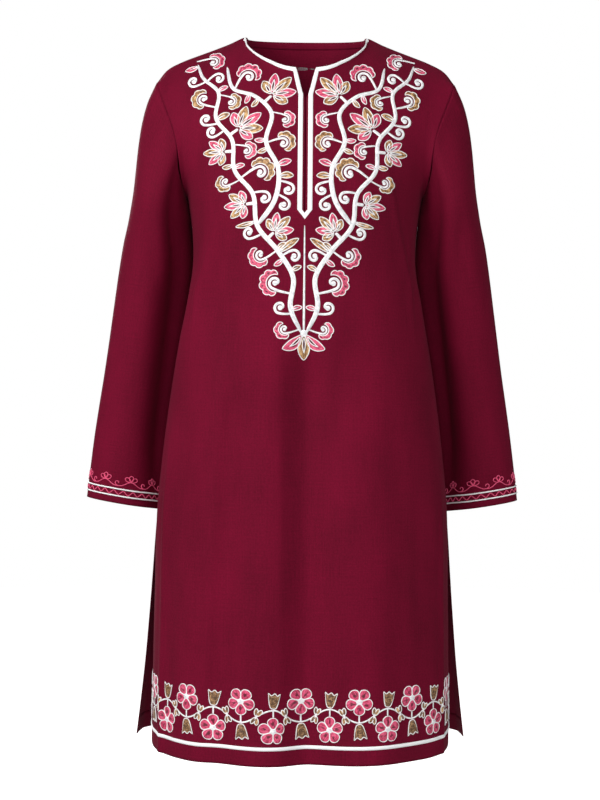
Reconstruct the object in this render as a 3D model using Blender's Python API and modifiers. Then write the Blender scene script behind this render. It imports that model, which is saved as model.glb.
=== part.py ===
"""Kurta tunic, filled out as it is worn but with no wearer.

Metres, +Z up, front towards -Y, +X to the right of someone who looks at the front.
The origin is midway between the two high points of the shoulders, where the neckline
meets the shoulder seams. Each cut piece of cloth is one wall with its own seams, 0.5 mm
from its neighbours, and the braids are laid on the panels from the panels' own points.
"""

import math
from collections import namedtuple

import bmesh
import bpy
import numpy as np
from mathutils import Vector
from mathutils.bvhtree import BVHTree

# ---- Driving sizes ---------------------------------------------------------------
CLOTH = 0.0015            # wall of the cloth
SEAM_GAP = 0.0005         # between two pieces at a seam, and under what lies on a panel
HEM_Z = -0.9475           # lower edge, below the high shoulder points
SIDE_SLIT_Z = -0.623      # top of the two side slits
UNDERARM_Z = -0.225       # where the sleeve seam and the side seam meet
NECK_HALF = 0.0825        # half the neck width at the high shoulder points
NECK_DROP = 0.055         # front neckline below the high shoulder points
NECK_CURVE = 1.8          # roundness of the front neckline: 2 is an ellipse
BACK_NECK_RISE = 0.009    # back neckline above the high shoulder points
SHOULDER_RIDGE_Y = 0.012  # the high shoulder points lie this far behind the middle
NECK_FRONT_Y = -0.064     # front of the neckline
NECK_BACK_Y = 0.078       # back of the neckline
SLIT_HALF_TOP = 0.012     # half the neck slit's opening at the neckline
SLIT_HALF_KNEE = 0.0034   # and where its V ends
SLIT_KNEE_Z = -0.094
SLIT_SHUT_Z = -0.099      # below this the two edges of the slit meet
SLIT_SHUT_HALF = 0.0004
SLIT_END_Z = -0.2545
SLIT_REACH = 0.045        # columns this near the middle move aside for the slit
BRAID_WIDTH = 0.006       # white braid round the neckline and down the slit
BRAID_THICK = 0.0010
BRAID_INSET = 0.0034      # its inner edge, from the middle of the shut slit
HEM_BRAID_UP = 0.022      # middle of the hem braid above the hem
HEM_BRAID_WIDTH = 0.0055
CUFF_CORD_UP = (0.0105, 0.0200)  # middles of the two cuff cords above the cuff's edge
CUFF_CORD_WIDTH = 0.0026
FACING_DEPTH = 0.011      # back neck facing
TURN_UP = 0.022           # hem turned up inside the back panel
FACING_THICK = 0.0008
WIRE_RADIUS = 0.0005      # hook and eye

# ---- The form, as short tables -----------------------------------------------------
# A level section of the body: half widths and edge places of the front and the back
# panel, how far the front and the back reach, and how square the section is.
Ring = namedtuple("Ring", "z front_half front_edge front_y back_half back_edge back_y square")
BODY = (
    Ring(HEM_Z, 0.1975, -0.004, -0.138, 0.2240, 0.042, 0.158, 2.55),
    Ring(-0.850, 0.1968, -0.003, -0.134, 0.2120, 0.028, 0.150, 2.50),
    Ring(-0.740, 0.1955, -0.001, -0.130, 0.2020, 0.012, 0.142, 2.45),
    Ring(SIDE_SLIT_Z, 0.1930, 0.002, -0.126, 0.1930, 0.002, 0.134, 2.40),
    Ring(-0.560, 0.1870, 0.003, -0.124, 0.1870, 0.003, 0.129, 2.35),
    Ring(-0.490, 0.1785, 0.004, -0.122, 0.1785, 0.004, 0.123, 2.30),
    Ring(-0.420, 0.1680, 0.005, -0.121, 0.1680, 0.005, 0.112, 2.25),
    Ring(-0.355, 0.1560, 0.006, -0.122, 0.1560, 0.006, 0.102, 2.20),
    Ring(-0.300, 0.1490, 0.008, -0.126, 0.1490, 0.008, 0.100, 2.20),
    Ring(-0.260, 0.1510, 0.010, -0.129, 0.1510, 0.010, 0.105, 2.20),
    Ring(UNDERARM_Z, 0.1565, 0.012, -0.128, 0.1565, 0.012, 0.111, 2.20),
)

# The right shoulder seam, from the high shoulder point to the shoulder tip.
SeamPoint = namedtuple("SeamPoint", "x y z")
SHOULDER = (
    SeamPoint(NECK_HALF, SHOULDER_RIDGE_Y, 0.0000),
    SeamPoint(0.1120, 0.0110, -0.0130),
    SeamPoint(0.1400, 0.0095, -0.0240),
    SeamPoint(0.1650, 0.0080, -0.0340),
    SeamPoint(0.1850, 0.0065, -0.0450),
    SeamPoint(0.2000, 0.0050, -0.0635),
)

# The right armhole from the underarm to the shoulder tip, on the front and the back.
FRONT_ARMHOLE = (
    SeamPoint(0.1565, 0.0112, UNDERARM_Z),
    SeamPoint(0.1605, -0.0190, -0.2130),
    SeamPoint(0.1640, -0.0430, -0.1900),
    SeamPoint(0.1670, -0.0530, -0.1640),
    SeamPoint(0.1720, -0.0520, -0.1390),
    SeamPoint(0.1810, -0.0420, -0.1140),
    SeamPoint(0.1915, -0.0270, -0.0870),
    SeamPoint(0.1985, -0.0100, -0.0665),
    SeamPoint(0.2000, 0.0050, -0.0635),
)
BACK_ARMHOLE = (
    SeamPoint(0.1565, 0.0128, UNDERARM_Z),
    SeamPoint(0.1620, 0.0430, -0.2130),
    SeamPoint(0.1680, 0.0680, -0.1880),
    SeamPoint(0.1725, 0.0780, -0.1600),
    SeamPoint(0.1775, 0.0740, -0.1330),
    SeamPoint(0.1850, 0.0600, -0.1080),
    SeamPoint(0.1935, 0.0390, -0.0820),
    SeamPoint(0.1988, 0.0200, -0.0660),
    SeamPoint(0.2000, 0.0050, -0.0635),
)

# The right sleeve below its cap: middle of each section, its half width across and half
# depth front to back, and how far its outer side is tipped up.
SleeveRing = namedtuple("SleeveRing", "x y z half_width half_depth tilt")
SLEEVE = (
    SleeveRing(0.1949, 0.0120, -0.2480, 0.0413, 0.0610, 12.0),
    SleeveRing(0.1993, 0.0240, -0.3000, 0.0487, 0.0540, 11.0),
    SleeveRing(0.2077, 0.0370, -0.3600, 0.0503, 0.0490, 10.0),
    SleeveRing(0.2220, 0.0540, -0.4550, 0.0510, 0.0440, 9.0),
    SleeveRing(0.2360, 0.0650, -0.5500, 0.0525, 0.0405, 9.0),
    SleeveRing(0.2452, 0.0700, -0.6327, 0.0535, 0.0380, 9.0),
)
CAP_OUT = Vector((0.50, 0.0, -0.86))  # how the sleeve leaves the armhole's upper part

# The largest folds: a soft ridge (depth above 0) or trough that runs down the cloth from
# one place to another and grows on its way. across is from the middle of the panel.
Fold = namedtuple("Fold", "face across_top z_top across_low z_low width depth")
FOLDS = (
    Fold("front", -0.122, -0.225, -0.185, -0.390, 0.020, 0.0035),
    Fold("front", 0.132, -0.225, 0.185, -0.370, 0.020, 0.0035),
    Fold("front", -0.022, -0.400, -0.018, HEM_Z, 0.030, -0.0050),
    Fold("front", -0.050, -0.480, -0.060, HEM_Z, 0.026, 0.0030),
    Fold("front", -0.086, -0.420, -0.130, HEM_Z, 0.028, -0.0035),
    Fold("front", 0.050, -0.450, 0.062, HEM_Z, 0.040, 0.0040),
    Fold("front", 0.145, -0.520, 0.152, HEM_Z, 0.024, -0.0030),
    Fold("back", 0.010, -0.330, 0.020, HEM_Z, 0.034, 0.0050),
    Fold("back", -0.070, -0.380, -0.095, HEM_Z, 0.032, -0.0045),
    Fold("back", 0.085, -0.400, 0.110, HEM_Z, 0.036, -0.0040),
    Fold("back", -0.150, -0.480, -0.180, HEM_Z, 0.030, 0.0040),
)

# ---- How finely the walls are divided ------------------------------------------------
COLUMNS = 11              # from the middle of a panel to its side
NECK_COLUMNS = 5          # of them, those that end at the neckline
SKIRT_ROWS = 6            # hem to side slit
WAIST_ROWS = 7            # side slit to the end of the neck slit
YOKE_ROWS = 10            # underarm to shoulder
EVEN_PASSES = 8           # of smoothing over the yoke's inner points
EDGE_STRIP = 0.012        # share of a row or column in the narrow strip along a seam
SLEEVE_AROUND = 20
CAP_ROWS = 6
ARM_ROWS = 9

MAROON = (0.185, 0.0075, 0.026, 1.0)
WHITE = (0.86, 0.86, 0.88, 1.0)
STEEL = (0.55, 0.55, 0.57, 1.0)


# ---- Small helpers ---------------------------------------------------------------------
def clear_scene():
    """An empty scene, whatever the file held."""
    for old in list(bpy.data.objects):
        bpy.data.objects.remove(old, do_unlink=True)


def smooth_curve(keys, values, at):
    """Values of the smooth curve through (keys, values), whose keys rise."""
    keys = np.asarray(keys, float)
    values = np.asarray(values, float)
    slopes = np.gradient(values, keys, axis=0)
    at = np.clip(np.atleast_1d(at), keys[0], keys[-1])
    left = np.clip(np.searchsorted(keys, at) - 1, 0, len(keys) - 2)
    step = keys[left + 1] - keys[left]
    t = (at - keys[left]) / step
    if values.ndim > 1:
        t, step = t[:, None], step[:, None]
    return (
        (1 + 2 * t) * (1 - t) ** 2 * values[left]
        + t * (1 - t) ** 2 * step * slopes[left]
        + t * t * (3 - 2 * t) * values[left + 1]
        + t * t * (t - 1) * step * slopes[left + 1]
    )


def along(points, shares):
    """Points at the given shares of a smooth line's length."""
    points = np.asarray(points, float)
    lengths = np.r_[0, np.cumsum(np.linalg.norm(np.diff(points, axis=0), axis=1))]
    return smooth_curve(lengths / lengths[-1], points, shares)


def fade(value, low, high):
    """0 at low, 1 at high, smooth between."""
    t = np.clip((value - low) / (high - low), 0, 1)
    return t * t * (3 - 2 * t)


def ring_at(z):
    """The body's section at one height, as a Ring."""
    rows = sorted(BODY)
    keys = [row.z for row in rows]
    return Ring(*(float(smooth_curve(keys, [row[i] for row in rows], z)[0])
                  for i in range(len(Ring._fields))))


# ---- The body's surface -------------------------------------------------------------------
def half_section(face, z):
    """(points, length) of the right half of a level section, from the middle to the side."""
    ring = ring_at(z)
    half, edge, reach = ((ring.front_half, ring.front_edge, ring.front_y) if face == "front"
                         else (ring.back_half, ring.back_edge, ring.back_y))
    turn = np.linspace(0, math.pi / 2, 121)
    power = 2 / ring.square
    x = half * np.sin(turn) ** power
    y = edge + (reach - edge) * np.clip(np.cos(turn), 0, 1) ** power
    points = np.stack([x, y], axis=1)
    lengths = np.r_[0, np.cumsum(np.linalg.norm(np.diff(points, axis=0), axis=1))]
    return points, lengths


def fold_height(face, across, z):
    """How far the folds lift the cloth at signed distances from the panel's middle."""
    lift = np.zeros_like(across)
    for fold in FOLDS:
        if fold.face != face or z > fold.z_top:
            continue
        down = min(1.0, (fold.z_top - z) / (fold.z_top - fold.z_low))
        place = fold.across_top + (fold.across_low - fold.across_top) * down
        grown = fade(fold.z_top - z, 0.0, 0.12)
        if z < fold.z_low:
            grown *= 1 - fade(fold.z_low - z, 0.0, 0.10)
        lift += fold.depth * grown * np.exp(-(((across - place) / fold.width) ** 2))
    return lift


def level_row(face, z, shares):
    """One level row of points across a panel, for signed shares from -1 to 1."""
    points, lengths = half_section(face, z)
    distance = np.abs(shares) * lengths[-1]
    x = np.interp(distance, lengths, points[:, 0])
    y = np.interp(distance, lengths, points[:, 1])
    tangent = np.gradient(points, lengths, axis=0)
    tx = np.interp(distance, lengths, tangent[:, 0])
    ty = np.interp(distance, lengths, tangent[:, 1])
    outward = np.stack([ty, -tx], axis=1) if face == "front" else np.stack([-ty, tx], axis=1)
    edge = 1 - fade(np.abs(shares), 0.9, 1.0)
    lift = fold_height(face, np.sign(shares) * distance, z) * edge
    x = (x + lift * outward[:, 0]) * np.where(shares < 0, -1, 1)
    x[distance < 1e-6] = 0.0
    y = y + lift * outward[:, 1]
    return np.stack([x, y, np.full_like(x, z)], axis=1)


def top_row(face, shares):
    """The panel's upper edge for shares 0 to 1: neckline, then shoulder seam."""
    neck_share = NECK_COLUMNS / COLUMNS
    first = math.asin(SLIT_HALF_TOP / NECK_HALF) if face == "front" else 0.0
    x = NECK_HALF * np.sin(first + np.clip(shares / neck_share, 0, 1) * (math.pi / 2 - first))
    rest = np.clip(1 - (x / NECK_HALF) ** 2, 0, 1)
    if face == "front":
        z = -NECK_DROP * np.clip(1 - (x / NECK_HALF) ** NECK_CURVE, 0, 1) ** (1 / NECK_CURVE)
        y = SHOULDER_RIDGE_Y + (NECK_FRONT_Y - SHOULDER_RIDGE_Y) * rest ** 0.5
    else:
        z = BACK_NECK_RISE * rest ** 0.7
        y = SHOULDER_RIDGE_Y + (NECK_BACK_Y - SHOULDER_RIDGE_Y) * rest ** 0.5
    neckline = np.stack([x, y, z], axis=1)
    seam = along(SHOULDER, np.clip((shares - neck_share) / (1 - neck_share), 0, 1))
    return np.where((shares <= neck_share)[:, None], neckline, seam)


def yoke(face, shares, heights):
    """Rows of points above the underarm, for shares 0 to 1 and heights 0 to 1."""
    low = level_row(face, UNDERARM_Z, shares)
    step = 0.004
    rise = (low - level_row(face, UNDERARM_Z - step, shares)) / step
    high = top_row(face, shares)
    chord = np.linalg.norm(high - low, axis=1)[:, None]
    neck_share = NECK_COLUMNS / COLUMNS
    flat = fade(shares, 0.0, 1.6 * neck_share)[:, None]
    back_way = 1.0 if face == "front" else -1.0
    at_neck = np.array([0.0, 0.52, 0.85]) if face == "front" else np.array([0.0, -0.55, 0.80])
    at_seam = np.array([0.0, 0.98 * back_way, 0.06])
    arrive = (1 - flat) * at_neck + flat * at_seam
    leave, arrive = rise * chord * 0.95, arrive * chord * 0.80
    rows = []
    armhole = FRONT_ARMHOLE if face == "front" else BACK_ARMHOLE
    for h in heights:
        row = ((1 + 2 * h) * (1 - h) ** 2 * low + h * (1 - h) ** 2 * leave
               + h * h * (3 - 2 * h) * high + h * h * (h - 1) * arrive)
        pull = along(armhole, [h])[0] - row_end(low, high, leave, arrive, h)
        rows.append(row + np.abs(shares)[:, None] ** 2.5 * pull)
    return relaxed([level_row(face, UNDERARM_Z - step, shares)] + rows + [high])


def relaxed(rows):
    """The rows with their inner points evened out, less the first row, which only guides.

    The narrow strips along the seams stay as they are, for the walls meet there.
    """
    whole = np.array(rows)
    inner = np.ix_([i for i in range(len(whole)) if i != len(whole) - 2],
                   [i for i in range(whole.shape[1]) if i != whole.shape[1] - 2])
    grid = whole[inner]
    mirror = np.array([-1.0, 1.0, 1.0])
    for _ in range(EVEN_PASSES):
        wide = np.concatenate([grid[:, 1:2] * mirror, grid], axis=1)
        across = (wide[1:-1, :-2] + wide[1:-1, 2:]) / 2
        upright = (grid[:-2, :-1] + grid[2:, :-1]) / 2
        grid[2:-1, :-1] += 0.5 * ((across + upright) / 2 - grid[1:-1, :-1])[1:]
    whole[inner] = grid
    return list(whole[1:])


def row_end(low, high, leave, arrive, h):
    """Where the free curve of the outermost column lies at height h."""
    return ((1 + 2 * h) * (1 - h) ** 2 * low[-1] + h * (1 - h) ** 2 * leave[-1]
            + h * h * (3 - 2 * h) * high[-1] + h * h * (h - 1) * arrive[-1])


def slit_half(z):
    """Half the opening of the neck slit at a height."""
    if z <= SLIT_END_Z:
        return 0.0
    return float(np.interp(z, [SLIT_SHUT_Z, SLIT_KNEE_Z, -NECK_DROP],
                           [SLIT_SHUT_HALF, SLIT_HALF_KNEE, SLIT_HALF_TOP]))


def make_way(row, opening):
    """Moves a half row's points aside for the slit."""
    row = row.copy()
    first = row[0, 0]
    near = row[:, 0] < SLIT_REACH
    row[near, 0] = opening + (row[near, 0] - first) * (SLIT_REACH - opening) / (SLIT_REACH - first)
    return row


def column_shares():
    """Where the columns of half a panel stand, from its middle (0) to its side seam."""
    seam = SEAM_GAP / 0.25
    return np.r_[np.linspace(0, 1, COLUMNS + 1)[:-1], 1 - EDGE_STRIP, 1 - seam]


def hem_rows(face, ups):
    """Rows across a panel at heights above its hem, on the panel's own flat facets."""
    shares = column_shares()
    shares = np.r_[-shares[:0:-1], shares] * 0.999
    step = (SIDE_SLIT_Z - HEM_Z) / SKIRT_ROWS
    low, high = level_row(face, HEM_Z, shares), level_row(face, HEM_Z + step, shares)
    return [low + (high - low) * up / step for up in ups]


def panel_rows(face):
    """The right and the left half of a panel as lists of rows, from the hem upwards."""
    shares = column_shares()
    levels = np.r_[
        np.linspace(HEM_Z, SIDE_SLIT_Z, SKIRT_ROWS + 1)[:-1],
        np.linspace(SIDE_SLIT_Z, SLIT_END_Z, WAIST_ROWS + 1),
    ]
    heights = np.r_[np.linspace(0, 1, YOKE_ROWS + 1)[:-1], 1 - EDGE_STRIP * 1.5]
    right = [level_row(face, z, shares) for z in levels]
    left = [level_row(face, z, -np.maximum(shares, 1e-9)) for z in levels]
    upper = yoke(face, shares, heights)
    brim = upper.pop()
    towards = upper[-1] - brim
    towards /= np.linalg.norm(towards, axis=1)[:, None]
    neck_share = NECK_COLUMNS / COLUMNS
    on_seam = (shares > neck_share - 1e-6)[:, None]
    ridge = 1 + 2 * (1 - fade(shares, neck_share, neck_share + 0.3))[:, None]
    upper.append(brim + towards * SEAM_GAP * on_seam * ridge)
    flip = np.array([-1.0, 1.0, 1.0])
    right += upper
    left += [row * flip for row in upper]
    if face == "front":
        for half, side in ((right, 1), (left, -1)):
            for i, row in enumerate(half):
                opening = slit_half(row[0, 2])
                if opening:
                    turned = row * (side, 1, 1)
                    half[i] = make_way(turned, opening) * (side, 1, 1)
    return right, left


# ---- From rows of points to objects ------------------------------------------------------------
def material(name, colour, roughness, metallic=0.0):
    """A plain finish."""
    made = bpy.data.materials.get(name) or bpy.data.materials.new(name)
    made.use_nodes = True
    shader = made.node_tree.nodes["Principled BSDF"]
    shader.inputs["Base Color"].default_value = colour
    shader.inputs["Roughness"].default_value = roughness
    shader.inputs["Metallic"].default_value = metallic
    return made


def add_object(name, mesh, finish, parts):
    """A named object in the garment's collection."""
    made = bpy.data.objects.new(name, mesh)
    made.data.materials.append(finish)
    parts.objects.link(made)
    return made


def sheet_mesh(name, grids, closed=False):
    """An open surface lofted through grids of points, welded where two grids share points."""
    surface = bmesh.new()
    for rows in grids:
        lines = [[surface.verts.new(point) for point in row] for row in rows]
        for low, high in zip(lines, lines[1:]):
            columns = list(zip(low, low[1:], high[1:], high))
            if closed:
                columns.append((low[-1], low[0], high[0], high[-1]))
            for corners in columns:
                surface.faces.new(corners)
    bmesh.ops.remove_doubles(surface, verts=surface.verts, dist=1e-5)
    bmesh.ops.recalc_face_normals(surface, faces=surface.faces)
    mesh = bpy.data.meshes.new(name)
    surface.to_mesh(mesh)
    surface.free()
    return mesh


def face_outwards(mesh, inside):
    """Turns an open surface over if most of it faces the given inner point."""
    towards = sum((p.center - inside(p.center)).dot(p.normal) * p.area for p in mesh.polygons)
    if towards < 0:
        mesh.flip_normals()


def thicken(made, thickness, way):
    """Gives an open surface its wall; way is -1 for inwards and 1 for outwards."""
    wall = made.modifiers.new("wall", "SOLIDIFY")
    wall.thickness = thickness
    wall.offset = way
    wall.use_even_offset = True
    wall.use_quality_normals = True


def body_axis(point):
    """The nearest point inside the body, for telling which way is out."""
    return Vector((point.x * 0.3, 0.008, min(point.z, -0.10)))


def make_panel(face, finish, parts):
    """The front or the back, one piece of cloth from hem to shoulders."""
    right, left = panel_rows(face)
    mesh = sheet_mesh(face + "_panel", (right, left))
    face_outwards(mesh, body_axis)
    made = add_object(face + "_panel", mesh, finish, parts)
    thicken(made, CLOTH, -1)
    return made


# ---- Sleeves ------------------------------------------------------------------------------------
def armhole_ring():
    """Points round the right armhole from the underarm, up the front and down the back."""
    half = SLEEVE_AROUND // 2
    shares = np.linspace(0, 1, half + 1)
    front = along(FRONT_ARMHOLE, shares)
    back = along(BACK_ARMHOLE, shares)[::-1]
    return np.concatenate([front, back[1:-1]])


def sleeve_ring(row):
    """One level of the right sleeve below the cap, in the armhole ring's order."""
    turn = np.arange(SLEEVE_AROUND) * 2 * math.pi / SLEEVE_AROUND
    across = -np.cos(turn) * row.half_width
    tip = math.radians(row.tilt)
    return np.stack([row.x + across * math.cos(tip),
                     row.y - np.sin(turn) * row.half_depth,
                     row.z + across * math.sin(tip)], axis=1)


def sleeve_rows():
    """Rings of the right sleeve from the armhole to the cuff."""
    keys = [-row.z for row in SLEEVE]
    start, biceps = armhole_ring(), sleeve_ring(SLEEVE[0])
    chord = np.linalg.norm(biceps - start, axis=1)[:, None]
    turn = np.arange(SLEEVE_AROUND) * 2 * math.pi / SLEEVE_AROUND
    upper = (0.5 - 0.5 * np.cos(turn))[:, None]
    leave = (upper * np.array(CAP_OUT) + (1 - upper) * np.array([0.05, 0, -1.0])) * chord
    below = sleeve_ring(SleeveRing(*(smooth_curve(keys, [row[i] for row in SLEEVE], keys[0] + 0.01)[0]
                                     for i in range(6))))
    arrive = (below - biceps) / np.linalg.norm(below - biceps, axis=1)[:, None] * chord
    rows = []
    for h in np.r_[0, 0.03, np.linspace(0, 1, CAP_ROWS + 1)[1:]]:
        rows.append((1 + 2 * h) * (1 - h) ** 2 * start + h * (1 - h) ** 2 * leave
                    + h * h * (3 - 2 * h) * biceps + h * h * (h - 1) * arrive)
    away = rows[1] - rows[0]
    rows[0] = rows[0] + away / np.linalg.norm(away, axis=1)[:, None] * SEAM_GAP
    for depth in np.linspace(keys[0], keys[-1], ARM_ROWS + 1)[1:]:
        section = SleeveRing(*(smooth_curve(keys, [row[i] for row in SLEEVE], depth)[0] for i in range(6)))
        rows.append(sleeve_ring(section))
    return rows


def sleeve_axis(side):
    """A function that gives the sleeve's middle nearest a point's height."""
    heights = [row.z for row in SLEEVE][::-1]

    def middle(point):
        x = float(np.interp(point.z, heights, [row.x for row in SLEEVE][::-1]))
        y = float(np.interp(point.z, heights, [row.y for row in SLEEVE][::-1]))
        return Vector((side * x, y, point.z))

    return middle


def make_sleeve(name, side, finish, parts):
    """A set-in sleeve, one tube from the armhole to the cuff."""
    rows = [row * (side, 1, 1) for row in sleeve_rows()]
    mesh = sheet_mesh(name, (rows,), closed=True)
    face_outwards(mesh, sleeve_axis(side))
    made = add_object(name, mesh, finish, parts)
    thicken(made, CLOTH, -1)
    return made


# ---- What is laid on the panels ----------------------------------------------------------------
def surface_tree(mesh):
    """A search tree over an open surface's faces."""
    return BVHTree.FromPolygons([v.co for v in mesh.vertices], [p.vertices for p in mesh.polygons])


def lay(tree, guesses, lift):
    """Points of the surface nearest the guesses, each moved out by lift."""
    laid = []
    for guess in guesses:
        place, normal, _, _ = tree.find_nearest(Vector(guess))
        laid.append(place + normal * lift)
    return laid


def cast_front(tree, place, away, lift):
    """The point of the front panel seen at (x, z) from the front, moved out by lift.

    Where the cloth ends short of it, the place steps away until it meets the cloth.
    """
    for _ in range(40):
        found, normal, _, _ = tree.ray_cast(Vector((place[0], -1.0, place[1])), Vector((0, 1, 0)))
        if found:
            return found + normal * lift
        place = place + away * 0.0002
    raise ValueError(f"no cloth near {tuple(place)}")


def neckline_pairs(tree):
    """Inner and outer edge points of the braid along the right half of the neckline."""
    right, _ = panel_rows("front")
    steps = np.linspace(NECK_COLUMNS - 0.03, 0, 3 * NECK_COLUMNS + 1)
    columns = np.arange(len(right[-1]))
    brim, below = (np.stack([np.interp(steps, columns, right[i][:, axis]) for axis in range(3)], axis=1)
                   for i in (-1, -3))
    way = below - brim
    way /= np.linalg.norm(way, axis=1)[:, None]
    inner = lay(tree, brim + way * 0.0006, 1.5 * SEAM_GAP)
    outer = lay(tree, brim + way * (0.0006 + BRAID_WIDTH), 1.5 * SEAM_GAP)
    return list(zip(inner, outer))


def slit_pairs(tree):
    """The same down the right side of the slit, from the corner to the braid's point."""
    down = Vector((0.0, -1.0))
    top = -NECK_DROP
    seen = [((SLIT_HALF_TOP + 0.0004, top + 0.0004), (SLIT_HALF_TOP + BRAID_WIDTH * 0.75, top - BRAID_WIDTH))]
    for z in (-0.070, -0.082, SLIT_KNEE_Z):
        seen.append(((slit_half(z) + 0.0004, z), (slit_half(z) + BRAID_WIDTH, z - 0.001)))
    seen[-1] = ((BRAID_INSET, SLIT_KNEE_Z), (BRAID_INSET + BRAID_WIDTH, SLIT_KNEE_Z - 0.001))
    for z in np.linspace(SLIT_KNEE_Z, SLIT_END_Z + 0.006, 20)[1:]:
        seen.append(((BRAID_INSET, z), (BRAID_INSET + BRAID_WIDTH, z)))
    seen.append(((0.0, SLIT_END_Z + 0.0025), (0.0, SLIT_END_Z - BRAID_WIDTH)))
    pairs = []
    for near, far in seen:
        near, far = Vector(near), Vector(far)
        away = (far - near).normalized()
        pairs.append((cast_front(tree, near, away, 1.5 * SEAM_GAP), cast_front(tree, far, down, 1.5 * SEAM_GAP)))
    return pairs


def make_neck_braid(front, finish, parts):
    """One length of flat braid round the neckline, down the slit and back up."""
    tree = surface_tree(front.data)
    right = neckline_pairs(tree)[:-2] + slit_pairs(tree)
    turned = [[Vector((-p.x, p.y, p.z)) for p in pair] for pair in right[-2::-1]]
    left = [lay(tree, pair, 1.5 * SEAM_GAP) for pair in turned]
    mesh = sheet_mesh("neck_braid", (right + left,))
    face_outwards(mesh, body_axis)
    made = add_object("neck_braid", mesh, finish, parts)
    thicken(made, BRAID_THICK, 1)


def make_hem_braid(front, finish, parts):
    """Flat braid across the front above the hem."""
    tree = surface_tree(front.data)
    ups = (HEM_BRAID_UP - HEM_BRAID_WIDTH / 2, HEM_BRAID_UP + HEM_BRAID_WIDTH / 2)
    rows = [lay(tree, row, SEAM_GAP) for row in hem_rows("front", ups)]
    mesh = sheet_mesh("hem_braid", (rows,))
    face_outwards(mesh, body_axis)
    made = add_object("hem_braid", mesh, finish, parts)
    thicken(made, BRAID_THICK, 1)


def make_cuff_cord(name, sleeve, side, up, finish, parts):
    """A narrow cord sewn round a sleeve above its edge."""
    cuff = np.array([v.co for v in sleeve.data.vertices])[-SLEEVE_AROUND:]
    arm = np.array([v.co for v in sleeve.data.vertices])[-2 * SLEEVE_AROUND:-SLEEVE_AROUND]
    way = (arm - cuff) / np.linalg.norm(arm - cuff, axis=1)[:, None]
    middle = cuff.mean(axis=0)
    rows = []
    for edge in (-CUFF_CORD_WIDTH / 2, CUFF_CORD_WIDTH / 2):
        ring = cuff + way * (up + edge)
        away = ring - middle - way * (up + edge)
        rows.append(ring + away / np.linalg.norm(away, axis=1)[:, None] * SEAM_GAP * 1.3)
    mesh = sheet_mesh(name, (rows,), closed=True)
    face_outwards(mesh, sleeve_axis(side))
    made = add_object(name, mesh, finish, parts)
    thicken(made, BRAID_THICK, 1)


def make_neck_facing(back, finish, parts):
    """The narrow facing inside the back neckline, on the panel's own columns."""
    tree = surface_tree(back.data)
    right, left = panel_rows("back")
    columns = NECK_COLUMNS
    brim, below = (np.concatenate([left[i][columns - 1:0:-1], right[i][:columns]]) for i in (-1, -3))
    way = below - brim
    way /= np.linalg.norm(way, axis=1)[:, None]
    rows = [lay(tree, brim + way * down, -CLOTH - 3 * SEAM_GAP) for down in (0.0012, FACING_DEPTH)]
    mesh = sheet_mesh("back_neck_facing", (rows,))
    face_outwards(mesh, body_axis)
    made = add_object("back_neck_facing", mesh, finish, parts)
    thicken(made, FACING_THICK, -1)


def make_turn_up(back, finish, parts):
    """The back hem, turned up inside the panel."""
    tree = surface_tree(back.data)
    rows = [lay(tree, row, -CLOTH - 2 * SEAM_GAP) for row in hem_rows("back", (0.0008, TURN_UP))]
    mesh = sheet_mesh("back_hem_turn_up", (rows,))
    face_outwards(mesh, body_axis)
    made = add_object("back_hem_turn_up", mesh, finish, parts)
    thicken(made, FACING_THICK, -1)


def make_wire(name, points, finish, parts):
    """A bent wire with closed ends."""
    curve = bpy.data.curves.new(name, "CURVE")
    curve.dimensions = "3D"
    curve.bevel_depth = WIRE_RADIUS
    curve.bevel_resolution = 1
    curve.use_fill_caps = True
    line = curve.splines.new("POLY")
    line.points.add(len(points) - 1)
    for slot, point in zip(line.points, points):
        slot.co = (*point, 1.0)
    add_object(name, curve, finish, parts)


def make_hook_and_eye(front, finish, parts):
    """The wire closure at the top of the slit, behind the cloth's two corners."""
    tree = surface_tree(front.data)
    place = Vector((SLIT_HALF_TOP + 0.002, -NECK_DROP - 0.003))
    corner = cast_front(tree, place, Vector((1.0, 0.0)), 0.0)
    y = corner.y + CLOTH + SEAM_GAP * 2 + WIRE_RADIUS + 0.0016
    z = corner.z + 0.0012
    root, bend, pin = SLIT_HALF_TOP + 0.005, 0.0012, 0.0015
    eye = [(-root, y, z + bend), (-pin - 0.001, y, z + bend), (pin, y, z + bend * 0.7)]
    eye += [(pin + 0.0008, y, z), (pin, y, z - bend * 0.7), (-pin - 0.001, y, z - bend)]
    eye += [(-root, y, z - bend)]
    hook = [(root, y, z), (0.006, y, z), (0.0042, y - 0.0008, z)]
    make_wire("neck_eye", eye, finish, parts)
    make_wire("neck_hook", hook, finish, parts)


def main():
    clear_scene()
    parts = bpy.data.collections.new("kurta_tunic")
    bpy.context.scene.collection.children.link(parts)
    cloth = material("maroon_cloth", MAROON, 0.72)
    braid = material("white_braid", WHITE, 0.65)
    metal = material("hook_metal", STEEL, 0.35, 1.0)
    front = make_panel("front", cloth, parts)
    back = make_panel("back", cloth, parts)
    sleeves = {"left": (make_sleeve("sleeve_left", 1, cloth, parts), 1),
               "right": (make_sleeve("sleeve_right", -1, cloth, parts), -1)}
    make_neck_braid(front, braid, parts)
    make_hem_braid(front, braid, parts)
    for hand, (sleeve, side) in sleeves.items():
        for level, up in zip(("low", "high"), CUFF_CORD_UP):
            make_cuff_cord(f"cuff_cord_{hand}_{level}", sleeve, side, up, braid, parts)
    make_neck_facing(back, cloth, parts)
    make_turn_up(back, cloth, parts)
    make_hook_and_eye(front, metal, parts)


main()
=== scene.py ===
# %% [markdown]
# # A maroon kurta tunic with embroidery
# The garment hangs in the air as if somebody wore it, but nobody does. Its solid model comes from the
# frame. This lesson cuts the same pieces again as thin, finely divided cloth, sews braid on them, and
# then embroiders the yoke, the cuffs and the hem.

# %% Load the frame
import itertools
import math
from collections import namedtuple

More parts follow.
